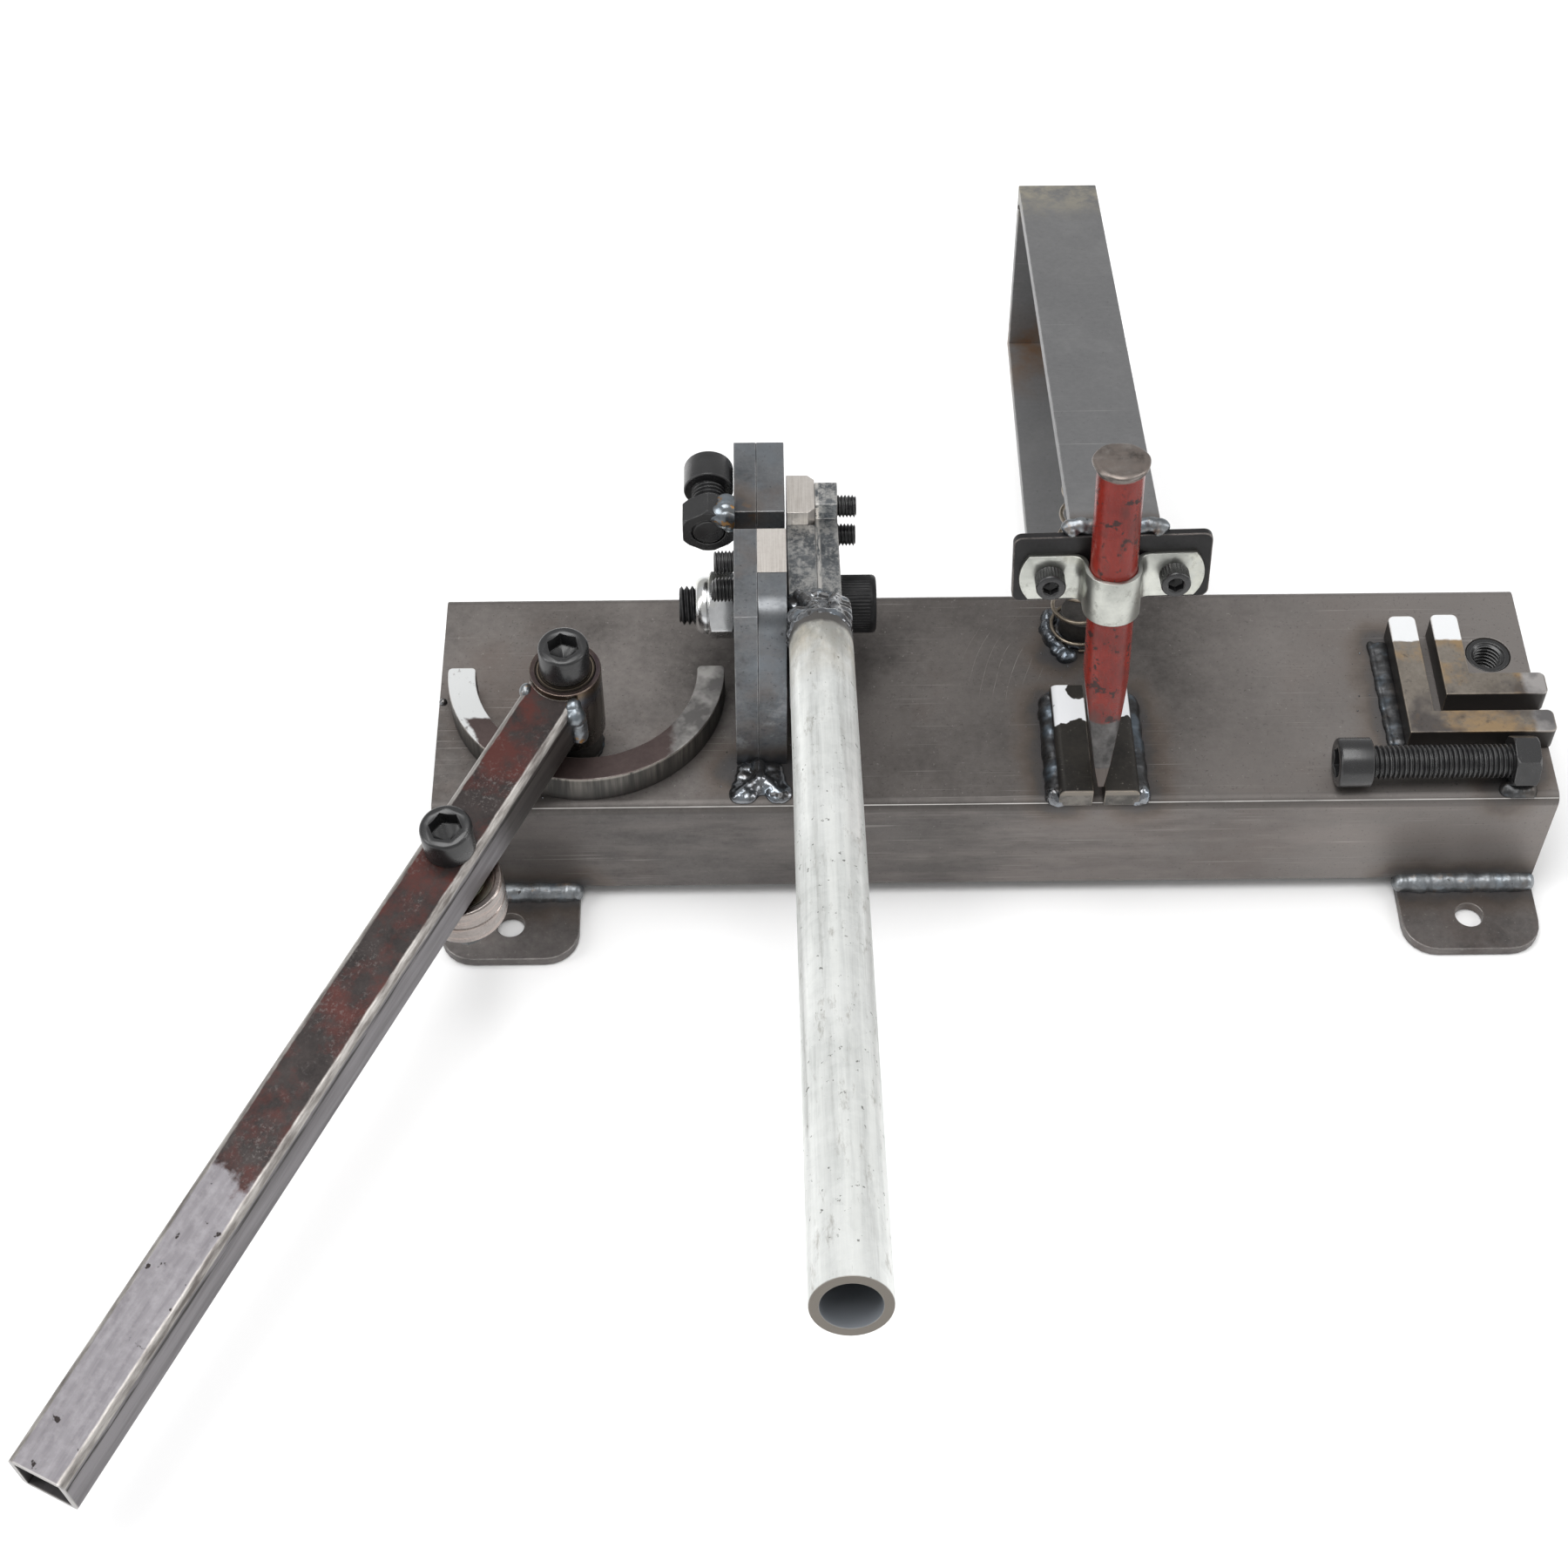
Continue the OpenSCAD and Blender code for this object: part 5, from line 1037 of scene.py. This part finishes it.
def round_ends(piece, radius, *axes):
    """Rounds the upright corner edges at a piece's far end along each of the given axes."""
    far = {axis: max([vertex.co[axis] for vertex in piece.data.vertices]) - 0.00001 for axis in axes}
    hold(piece)
    bpy.context.tool_settings.mesh_select_mode = (False, True, False)
    for kind in (piece.data.vertices, piece.data.polygons, piece.data.edges):
        kind.foreach_set("select", [False] * len(kind))
    for edge in piece.data.edges:
        start, end = (piece.data.vertices[number].co for number in edge.vertices)
        upright = (start - end).xy.length < 0.000001 and abs(start.z - end.z) > 0.005
        edge.select = upright and any([start[axis] > limit for axis, limit in far.items()])
    bpy.ops.object.mode_set(mode="EDIT")
    bpy.ops.mesh.bevel(offset=radius * MM, segments=5, affect="EDGES")
    bpy.ops.object.mode_set(mode="OBJECT")
    bpy.context.tool_settings.mesh_select_mode = (True, False, False)


ROUNDED = {"bender_former": (1.6, 1), "outer_angle_die": (2.3, 0, 1), "inner_angle_die": (2.3, 0, 1)}


def ease(name, finish, width):
    """Takes a CAD node's place with a merged copy of it, whose edges are eased."""
    piece = bpy.data.objects.new(name + "_eased", nodes[name].data.copy())
    bpy.context.collection.objects.link(piece)
    edit(
        piece, ("customdata_custom_splitnormals_clear", {}), ("remove_doubles", {"threshold": 0.000002}),
        ("dissolve_limited", {"angle_limit": radians(0.6)}))
    if name in ROUNDED:
        round_ends(piece, *ROUNDED[name])
    bevel(piece, width * MM, 28)
    hold(piece)
    bpy.ops.object.shade_smooth_by_angle(angle=radians(32))
    modify(piece, "WEIGHTED_NORMAL", keep_sharp=True, weight=100)
    dress(piece, name, finish)


# The CAD's own pieces, eased and finished
scale, black, plated = small_scale(), black_oxide(), zinc()
knurled_black = black_oxide("Knurled black oxide", 0.15, 0.34)
bright, bearing = polished("Sleeve steel", (0.24, 0.22, 0.2), (0.42, 0.39, 0.36)), bearing_steel()
frame_steel = cut_plate("Frame plate steel", (0.062, 0.067, 0.073), (0.205, 0.212, 0.22))
lever_plates = lever_plate_steel()
blades, arm = ground_blade(), arm_scale()
feet, lever, dies = foot_scale(), lever_scale(), slot_die_steel()

for node_name, finish, width in (
    ("base_tube", base_scale(), 0.3), ("foot_plate_left", feet, 0.5), ("foot_plate_right", feet, 0.5),
    ("bender_former", former_finish(), 0.5), ("pivot_boss", scale, 0.3), ("pivot_sleeve", bright, 0.3),
    ("lever_housing", housing_finish(), 0.45), ("pivot_bush", ringed_bush(), 0.2),
    ("bender_lever", lever, 0.2), ("roller_washer", plated, 0.2), ("roller_nut", black, 0.25),
    ("bearing_inner_rings", bearing, 0.2), ("roller_upper", bearing, 0.45),
    ("roller_lower", bearing, 0.45), ("shear_plate_left", frame_steel, 0.4),
    ("shear_plate_right", frame_steel, 0.4), ("fixed_blade", blades, 0.2), ("stop_nut", black, 0.3),
    ("lever_plate_left", lever_plates, 0.4), ("lever_plate_right", lever_plates, 0.4),
    ("moving_blade", blades, 0.2), ("handle_pipe", galvanised(), 0.3), ("arm_lower_bar", arm, 0.4),
    ("arm_upright", arm, 0.4), ("arm_upper_bar", arm, 0.4), ("clamp_plate", clamp_scale(), 0.5),
    ("spring_post", scale, 0.5), ("slot_die_left", dies, 0.4), ("slot_die_right", dies, 0.4),
    ("outer_angle_die", angle_die_steel("Outer angle die steel", 0.018, 0.193), 0.5),
    ("inner_angle_die", angle_die_steel("Inner angle die steel", 0.0185, 0.193), 0.5),
    ("bend_stop_nut", black, 0.3),
):
    ease(node_name, finish, width)
nodes["bearing_balls"].data.materials[0] = bright

# Screws and nuts
M12_HEAD = (8.8, 12, 10, 6)
for name, node, length, threaded, at in (
    ("pivot_cap_screw", "pivot_screw", 45, 12, move(PIVOT.x, PIVOT.y, 96.2) @ turn(12, "Z")),
    ("roller_cap_screw", "roller_screw", 50, 14, AT_ROLLER @ turn(20, "Z")),
    ("lever_stop_screw", "stop_screw", 20, 19, move(-101, 44.3, 116) @ turn(-90, "X")),
    ("long_stop_screw", "bend_stop_screw", 55, 54, move(132, -39.8, 63) @ turn(-90, "Y")),
):
    seat(socket_screw(M12, length, *M12_HEAD, threaded), name, node, black, at)
pivot_bolt = socket_screw(M14, 57.45, 10.5, 13.2, 12, 6.6, 14, 54)
seat(
    pivot_bolt, "lever_pivot_bolt", "shear_pivot_bolt", knurled_black,
    move(-54.55, 20, 82.3) @ turn(90, "Y"))

clip_screw = socket_screw((3, 1), 12, 5, 6, 5, 3, 8, 30)
for side, spot in (("left", -20.25), ("right", 21.25)):
    at = AT_CLAMP @ move(spot, -221.8, -18.6) @ turn(90, "X")
    seat(again(clip_screw), "clip_screw_" + side, "clip_screws", black, at)
bpy.data.objects.remove(clip_screw)

blade_screw = countersunk_screw(24.8, 9)
for number, height in ((1, 128), (2, 114.4)):
    at = move(-74, -0.8, height) @ turn(90, "Y")
    seat(again(blade_screw), f"fixed_blade_screw_{number}", "fixed_blade_screws", black, at)
tie_end = thread(*M8, -8.6, 1, 0.8)
at = move(-91.5, 12, 99) @ turn(90, "Y")
seat(tie_end, "frame_tie_screw_end", "fixed_blade_screws", black, at, extra=True)
for number, (depth, height) in ((1, (39.05, 113.15)), (2, (37.86, 99.61))):
    at = move(-73.35, depth, height) @ turn(-90, "Y")
    seat(again(blade_screw), f"moving_blade_screw_{number}", "moving_blade_screws", black, at)
bpy.data.objects.remove(blade_screw)

lock_nut = hex_nut(22, 9.6)
collar = turned(
    [
        (8.9, 9.3), (10.25, 9.4), (10.5, 10.2), (10.35, 11.6), (9.7, 13), (8.9, 13.9), (8.1, 14.2),
        (7.6, 14), (7.5, 13)],
    96)
for ring in (lock_nut, collar):
    cut(ring, turned([(7.05, -1), (7.05, 16)], 64))
lock_nut = bevel(join([lock_nut, collar]), 0.25, 35)
bright_zinc = zinc("Bright zinc", (0.55, 0.56, 0.57), (0.8, 0.81, 0.82), 0.16)
seat(lock_nut, "lever_lock_nut", "shear_pivot_nut", bright_zinc, move(-92, 20, 82.3) @ turn(-90, "Y"))

bush = turned([(7.9, 0), (8.25, 0.35), (8.25, 11.5), (7.75, 12)], 96)
cut(bush, wound_thread(5.95, 1.75, -1, 13, 32))
cut(bush, turned([(5.2, 10.9), (6.3, 12.05), (6.3, 13)], 64))
seat(bush, "threaded_bush", "tapped_bush", black, move(185.7, 17, 41.6))

# The chisel and its clip
chisel = turned(
    [
        (7.8, -101.2), (7.8, -60), (7.8, 0), (7.8, 29.6), (8, 30.6), (8.7, 31.3), (9.3, 31.8),
        (9.4, 32.4), (9.25, 33), (8.8, 33.4), (8, 33.6), (4, 33.6), (0.5, 33.6)],
    96)
for side in (-1, 1):
    face_off(chisel, ((side * 2.6, 0, -92.5), (side * 39.3, 0, -5.2)))
    face_off(chisel, ((side * 1, 0, -101.2), (side * 8.7, 0, -1.6)))
bevel(chisel, 0.25, 9)
hold(chisel)
for vertex in chisel.data.vertices:
    if vertex.co.z > 30.2:
        angle = atan2(vertex.co.y, vertex.co.x)
        swell = 1 + 0.018 * sin(3 * angle + 0.6) + 0.012 * sin(7 * angle)
        vertex.co.x *= swell
        vertex.co.y *= swell
        vertex.co.z += 0.05 * vertex.co.y * min(1, (vertex.co.z - 30.2) / 2.5)
seat(chisel, "cold_chisel", "chisel", red_paint(), AT_CLAMP @ move(0, CHISEL_Y, 0), 24)


BAND_LOW = -27.4


def arc(x, y, z, radius, start=0, end=360, count=24):
    angles = [radians(start + (end - start) * step / count) for step in range(count + 1)]
    return [(x + radius * cos(angle), y + radius * sin(angle), z) for angle in angles]


ear, reach, bend = -221, 8.75, 4.4
left_half = [(-31, ear, BAND_LOW), (-20, ear, BAND_LOW)] + arc(
    -reach - bend, ear - bend, BAND_LOW, bend, 90, 0, 10)
right_half = arc(
    reach + bend, ear - bend, BAND_LOW, bend, 180, 90, 10) + [(21, ear, BAND_LOW), (32, ear, BAND_LOW)]
band = line(left_half + arc(0, CHISEL_Y, BAND_LOW, reach, 180, 360, 24) + right_half)
edit(band, ("extrude_edges_move", {"TRANSFORM_OT_translate": {"value": (0, 0, 17.6)}}))
edit(band, OUTWARD)
modify(band, "SOLIDIFY", thickness=1.6, offset=0)
END_R = 14
swing = degrees(asin(8.8 / END_R))
angles = [radians(swing * (step / 6 - 1)) for step in range(13)]
ends = [(30.9 - END_R + END_R * cos(angle), END_R * sin(angle)) for angle in angles]
rim_line = [(0.5 + u, 0, -18.6 + v) for u, v in ends] + [(0.5 - u, 0, -18.6 - v) for u, v in ends]
stamp = line(rim_line + rim_line[:1])
edit(stamp, ("remove_doubles", {"threshold": 0.01}), ("edge_face_add", {}))
edit(stamp, ("extrude_region_move", {"TRANSFORM_OT_translate": {"value": (0, -30, 0)}}))
edit(stamp, OUTWARD)
stamp.data.transform(Matrix.Translation((0, -212, 0)))
cut(band, stamp, "INTERSECT")
for spot in (-20.25, 21.25):
    hole = turned([(3.1, -3), (3.1, 3)], 32)
    hole.data.transform(move(spot, ear, -18.6) @ turn(90, "X"))
    cut(band, hole)
bevel(band, 0.35, 40)
seat(band, "chisel_band", "chisel_clip", plated, AT_CLAMP)

# The return spring
RISE = 92.1
END_PITCH = 3.4
COILS = 9
COIL_R = 10.9


def climb(turns):
    """How high the wire is after so many turns; the end coils lie close."""
    if turns < 1:
        return END_PITCH * turns * (turns + 1) / 2
    if turns > COILS - 1:
        return RISE - climb(COILS - turns)
    return END_PITCH + (RISE - 2 * END_PITCH) / (COILS - 2) * (turns - 1)


def coil_point(turns):
    angle = radians(360 * turns - 90)
    y = COIL_R * sin(angle)
    lean = (turns / COILS) ** 3
    x = 36 - 2 * turns / COILS + COIL_R * cos(angle)
    return Vector((x, 31 + y, 54.8 + climb(turns) - lean * y * tan(radians(9.81))))


wire = [coil_point(step / 36) for step in range(COILS * 36 + 1)]
wire = [wire[0] - Vector((1.6, 0, 0))] + wire + [wire[-1] + Vector((1.6, 0, 0))]
bpy.ops.curve.primitive_nurbs_path_add()
spring = bpy.context.object
spring.data.splines.clear()
coil = spring.data.splines.new("POLY")
coil.points.add(len(wire) - 1)
for point, spot in zip(coil.points, wire):
    point.co = (*spot, 1)
spring.data.bevel_depth = 0.8
spring.data.bevel_resolution = 3
spring.data.use_fill_caps = True
hold(spring)
bpy.ops.object.convert(target="MESH")
spring = bpy.context.object
edit(spring, ("remove_doubles", {"threshold": 0.001}), OUTWARD)
seat(spring, "wound_spring", "return_spring", spring_wire(), smooth=50)
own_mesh(spring)

# Weld beads
UP, DOWN, RIGHT, FRONT, BACK = (0, 0, 1), (0, 0, -1), (1, 0, 0), (0, -1, 0), (0, 1, 0)
ON_DECK = ((0, 0, 53.8), DOWN)
along_x = weld_metal(
    "Weld metal laid sideways", (0.135, 0.145, 0.155), (0.38, 0.4, 0.415), (330, 60, 60), 0.28, 0.22)
dull_y = weld_metal(
    "Dull weld metal laid back", (0.034, 0.034, 0.035), (0.12, 0.122, 0.126), (60, 330, 60), 0.32)
dull = weld_metal("Dull weld metal", (0.036, 0.036, 0.037), (0.12, 0.123, 0.126), (180, 180, 180), 0.34)
wet = weld_metal("Glassy weld metal", (0.04, 0.04, 0.043), (0.35, 0.365, 0.385), shine=0.1, glassy=0.55)
bluish = weld_metal("Bluish weld metal", (0.05, 0.056, 0.064), (0.19, 0.205, 0.225), shine=0.2)
golden = weld_metal("Golden weld metal", (0.11, 0.125, 0.14), (0.3, 0.32, 0.335), shine=0.26, gold=0.95)


def weld(name, finish, drops, melt, *planes, node="base_welds", at=Matrix()):
    """Melts drops into one bead, cuts it flat at the planes and seats it; melt is what fuse takes."""
    seat(face_off(fuse(drops, *melt), *planes), name, node, finish, at, 80)


for side, where in ((-1, "front"), (1, "back")):
    for x, hand in ((-198, "left"), (152, "right")):
        run = bead([(x, side * 50.3, 4.4), (x + 46, side * 50.3, 4.4)], 4.9, 4.5, 1.6, swell=0.07)
        weld(
            f"foot_bead_{where}_{hand}", along_x, run, (0.42, 7, 0.55, 7), ((0, 0, 3.8), DOWN),
            ((0, side * 49.7, 0), (0, -side, 0)))

lump = [
    drop(4.2, 4.2, height, (-83.4 + x, y, 54))
    for y, height, places in (
        (-34, 2.5, (-4.6, 0, 4.4)), (-37.6, 2.6, (-5.2, 0, 5)), (-41.2, 2.5, (-6.4, -1, 5.6)),
        (-44.2, 2.4, (-7.4, -4.8, 5.2, 7.4)))
    for x in places]
lump += bead([(-84.4, -33, 56), (-83.8, -39.6, 56.4)], 2.6, 2.2, 1.2)
lump += bead([(-84, -39, 56), (-87.2, -41.8, 55.8), (-91, -45.4, 54.8)], 2.3, 1.8, 1.2)
lump += bead([(-83.6, -38.6, 56), (-79.8, -41.6, 55.8), (-75.8, -45, 54.8)], 2.3, 1.8, 1.2)
weld("frame_front_bead", wet, lump, (0.42, 4, 1.3, 6), ON_DECK, ((0, -30.7, 0), BACK))
heel = bead([(-90, 48.3, 54.6), (-76, 48.3, 54.6)], 1.5, 1.6, 1.6)
weld("frame_back_bead", dull, heel, (0.3,), ON_DECK, ((0, 49.9, 0), BACK))

for hand, x, outward in (("left", 21.6, -1), ("right", 50, 1)):
    run = bead([(x + outward * 0.2, -47.2, 54.4), (x, -5, 54.4)], 4.2, 4.7, 1.5, swell=0.04)
    run += bead([(x, -5, 54.2), (x - outward * 1.6, -2.6, 54)], 3.2, 3.6, 1.5)
    inner = ((x - outward * 0.15, 0, 0), (-outward, 0, 0))
    weld("slot_bead_" + hand, dull_y, run, (0.42, 8, 0.7, 5), ON_DECK, inner)
    toe = [
        drop(3.6, 3.4, 4.2, (x + outward * 1.2, -47.2, 54.8), 0.3),
        drop(2.8, 2.8, 3.4, (x - outward * 0.4, -48.6, 54.4))]
    weld("slot_toe_" + hand, wet, toe, (0.3, 4, 0.8, 3.5), ON_DECK)

run = bead([(146.8, -23.6, 53.7), (146.4, 20.2, 53.7)], 4.2, 2.3, 1.5, swell=0.03)
run += bead([(143.4, -23.8, 54), (142.8, 21.2, 54)], 1.4, 1.6, 1.2, swell=0.1)
weld("angle_bead", dull_y, run, (0.42, 6, 0.5, 6), ON_DECK, ((148.4, 0, 0), RIGHT))

post = bead(arc(36, 31, 54.2, 8.6, count=20), 1.3, 1.4, 1.8)
post += bead(arc(36, 31, 54, 12.8, 146, 238, 9), 2.4, 3.4, 1.3, swell=0.12)
post += [
    drop(3.4, 4, 3.2, (29.8, 17.8, 54), 0.3), drop(2.4, 2.6, 2.6, (26.2, 20.4, 54), 0.3),
    drop(2.2, 2.4, 3.6, (24.6, 38, 54))]
weld("post_bead", bluish, post, (0.34, 3, 1.2, 4), ON_DECK)
weld("boss_bead", dull, bead(arc(-151, -20.5, 54, 10.4, 60, 420, 22), 0.8, 0.9, 1.9), (0.32, 3), ON_DECK)

tack = bead([(184, -33.2, 54.6), (189.6, -33.2, 54.6)], 4.2, 3.8, 1.6)
tack += bead([(181.6, -45.2, 53.8), (184.8, -47, 54), (189.2, -46.6, 54)], 3.7, 3.6, 1.3)
tack += [drop(2.2, 2.2, 2.4, (191.2, -32.4, 56.6))]
weld("bend_nut_bead", dull, tack, (0.34, 6, 0.7, 3.5), ON_DECK, ((0, -49.6, 0), FRONT))

stop = bead([(-94.8, 25.4, 121.4), (-94.8, 33.2, 121.4)], 4.6, 4.4, 1.2)
stop += [drop(3.4, 3.8, 3.2, (-97.4, 26.8, 122.6)), drop(2.6, 3, 3.2, (-93.4, 25.4, 118.8))]
weld("stop_nut_bead", golden, stop, (0.34, 5, 0.5, 4), ((-91.7, 0, 0), RIGHT))
under = bead([(22, 51, 50.6), (47, 51, 50.6)], 3, 3.4, 1.5)
weld("arm_foot_bead", dull, under, (0.34, 6, 0.5, 5), ((0, 0, 49.2), UP), ((0, 49.7, 0), FRONT))

right_run = [drop(3.6, 3.8, 3.8, (13.4, 11, -3.2)), drop(2.8, 3, 2.8, (11.4, 9.4, -0.8))]
right_run += [drop(2.9, 3.5, 2.9, (12.2, 10.9, -6.4 - 1.4 * step)) for step in range(8)]
left_run = [drop(2.2, 3, 2.4, (12.6, -8.9, -1), 0.3), drop(2, 2.6, 2.4, (11.6, -9.6, -3))]
left_run += [drop(2, 2.4, 2.6, (11.4, -10, -5 - 1.4 * step)) for step in range(8)]
for hand, run in (("left", left_run), ("right", right_run)):
    weld("lever_bead_" + hand, golden, run, (0.3, 7, 0.5, 3.5), node="lever_welds", at=AT_LEVER)

saddle = [
    drop(4, 3.8, height, (u, PIPE_SIDE + x, n))
    for u, n, height, places in (
        (47.8, 33, 1.5, (-7.2, -4, -0.6, 2.6)), (51.4, 33.2, 2.2, (-7.8, -4, 0, 3.8, 6.6)),
        (55.6, 34, 2.6, (-3.6, 0, 4.2, 7.4)), (60, 35, 3.2, (-3.6, 0, 4.2, 7.4)),
        (64.5, 36.4, 3.8, (-7.4, -3.6, 0.8, 4.8, 7.4)), (69, 37.6, 4.2, (-7.2, -3.8, 0, 3.8, 7.2)))
    for x in places]
saddle += bead([(50, -70, 35.8), (62, -65.6, 39.2), (70.5, -64.4, 42.2)], 2.2, 2.1, 1.2)
saddle += bead([(52, -57.4, 36), (61, -58.8, 39), (70, -57, 41)], 2, 2, 1.2)
saddle += bead([(50.2, -69.2, 34.8), (49, -63, 35.4), (50.4, -57.4, 34.9)], 2, 1.9, 1.2)
for angle in range(-30, 211, 20):
    side, up = 8.1 * cos(radians(angle)), 8.1 * sin(radians(angle))
    saddle.append(drop(3.6, 3.7, 3, (73, PIPE_SIDE + side, PIPE_UP + up)))
weld(
    "handle_bead", wet, saddle, (0.42, 5, 1.5, 7), ((0, 0, 30.6), DOWN), ((0, -52.6, 0), BACK),
    node="handle_weld", at=AT_SHEAR)

for hand, x in (("left", -11.4), ("right", 11.4)):
    run = [drop(2.8, 4, 2.7, (x + shift, -216.9, -1 - 0.2 * abs(shift))) for shift in (-2.8, 0, 2.8)]
    run += [drop(2.2, 2.4, 2, (x * 1.24, -218.4, -2.3))]
    weld("clamp_bead_" + hand, along_x, run, (0.32, 8, 0.5, 3.5), node="arm_welds", at=AT_ARM)
fold = bead([(-12.5, -5.9, -6.2), (12.5, -5.9, -6.2)], 1.8, 1.8, 1.5)
weld("fold_bead", dull, fold, (0.32, 5), node="arm_welds", at=AT_ARM)

spatter = [drop(1.5, 1.5, 1.5, (-198.6, -1, 54.2))]
for x, y, spread, count in (
    (-83, -38, 16, 16), (36, -28, 24, 18), (150, 0, 20, 12), (186, -40, 9, 6), (30, 18, 12, 8),
    (-170, -25, 22, 8),
):
    for _ in range(count):
        size = SPARK.uniform(0.18, 0.42)
        spot = (x + SPARK.uniform(-spread, spread), max(-45, y + SPARK.uniform(-spread, spread)), 54)
        bpy.ops.mesh.primitive_ico_sphere_add(subdivisions=2, radius=size, location=spot)
        spatter.append(settle())
seat(join(spatter), "weld_spatter", "base_welds", wet, smooth=80)

# Studio
bpy.ops.mesh.primitive_plane_add(size=8, location=(0, 0, -0.0003))
floor = bpy.context.object
floor.name = "studio_floor"
paper = bpy.data.materials.new("Pale paper")
paper.use_nodes = True
give(
    paper.node_tree, paper.node_tree.nodes["Principled BSDF"], Base_Color=(0.94, 0.94, 0.94),
    Roughness=0.95, Specular_IOR_Level=0.1)
floor.data.materials.append(paper)


def soft_light(name, place, aim, size, power):
    bpy.ops.object.light_add(type="AREA", location=place)
    lamp = bpy.context.object
    lamp.name = name
    lamp.data.shape = "RECTANGLE"
    lamp.data.size, lamp.data.size_y = size
    lamp.data.energy = power
    lamp.rotation_euler = (Vector(aim) - Vector(place)).to_track_quat("-Z", "Y").to_euler()
    lamp.select_set(False)


soft_light("top_softbox", (-0.25, -0.05, 1.75), (0, -0.02, 0.05), (1.5, 1.1), 23)
soft_light("left_strip", (-1.45, -0.35, 0.95), (-0.05, 0, 0.05), (0.45, 1.4), 9)
soft_light("right_strip", (1.45, -0.15, 1.05), (0.05, 0, 0.05), (0.45, 1.3), 8)

world = bpy.data.worlds.new("Pale studio")
bpy.context.scene.world = world
world.use_nodes = True
give(world.node_tree, world.node_tree.nodes["Background"], Color=(1, 1, 1), Strength=0.55)
bpy.context.scene.view_settings.view_transform = "Standard"

yaw, pitch, roll = radians(0.96), radians(52.49), radians(0.17)
ahead = Vector((sin(yaw) * cos(pitch), cos(yaw) * cos(pitch), -sin(pitch)))
level = Vector((cos(yaw), -sin(yaw), 0))
upright = level.cross(ahead)
right = level * cos(roll) + upright * sin(roll)
top = upright * cos(roll) - level * sin(roll)
lens = bpy.data.cameras.new("photo_camera")
lens.lens, lens.sensor_width, lens.sensor_fit = (61.54, 36, "HORIZONTAL")
camera = bpy.data.objects.new("photo_camera", lens)
bpy.context.collection.objects.link(camera)
facing = Matrix((right, top, -ahead)).transposed().to_4x4()
camera.matrix_world = Matrix.Translation((-0.08491, -0.62, 0.8098)) @ facing
bpy.context.scene.camera = camera
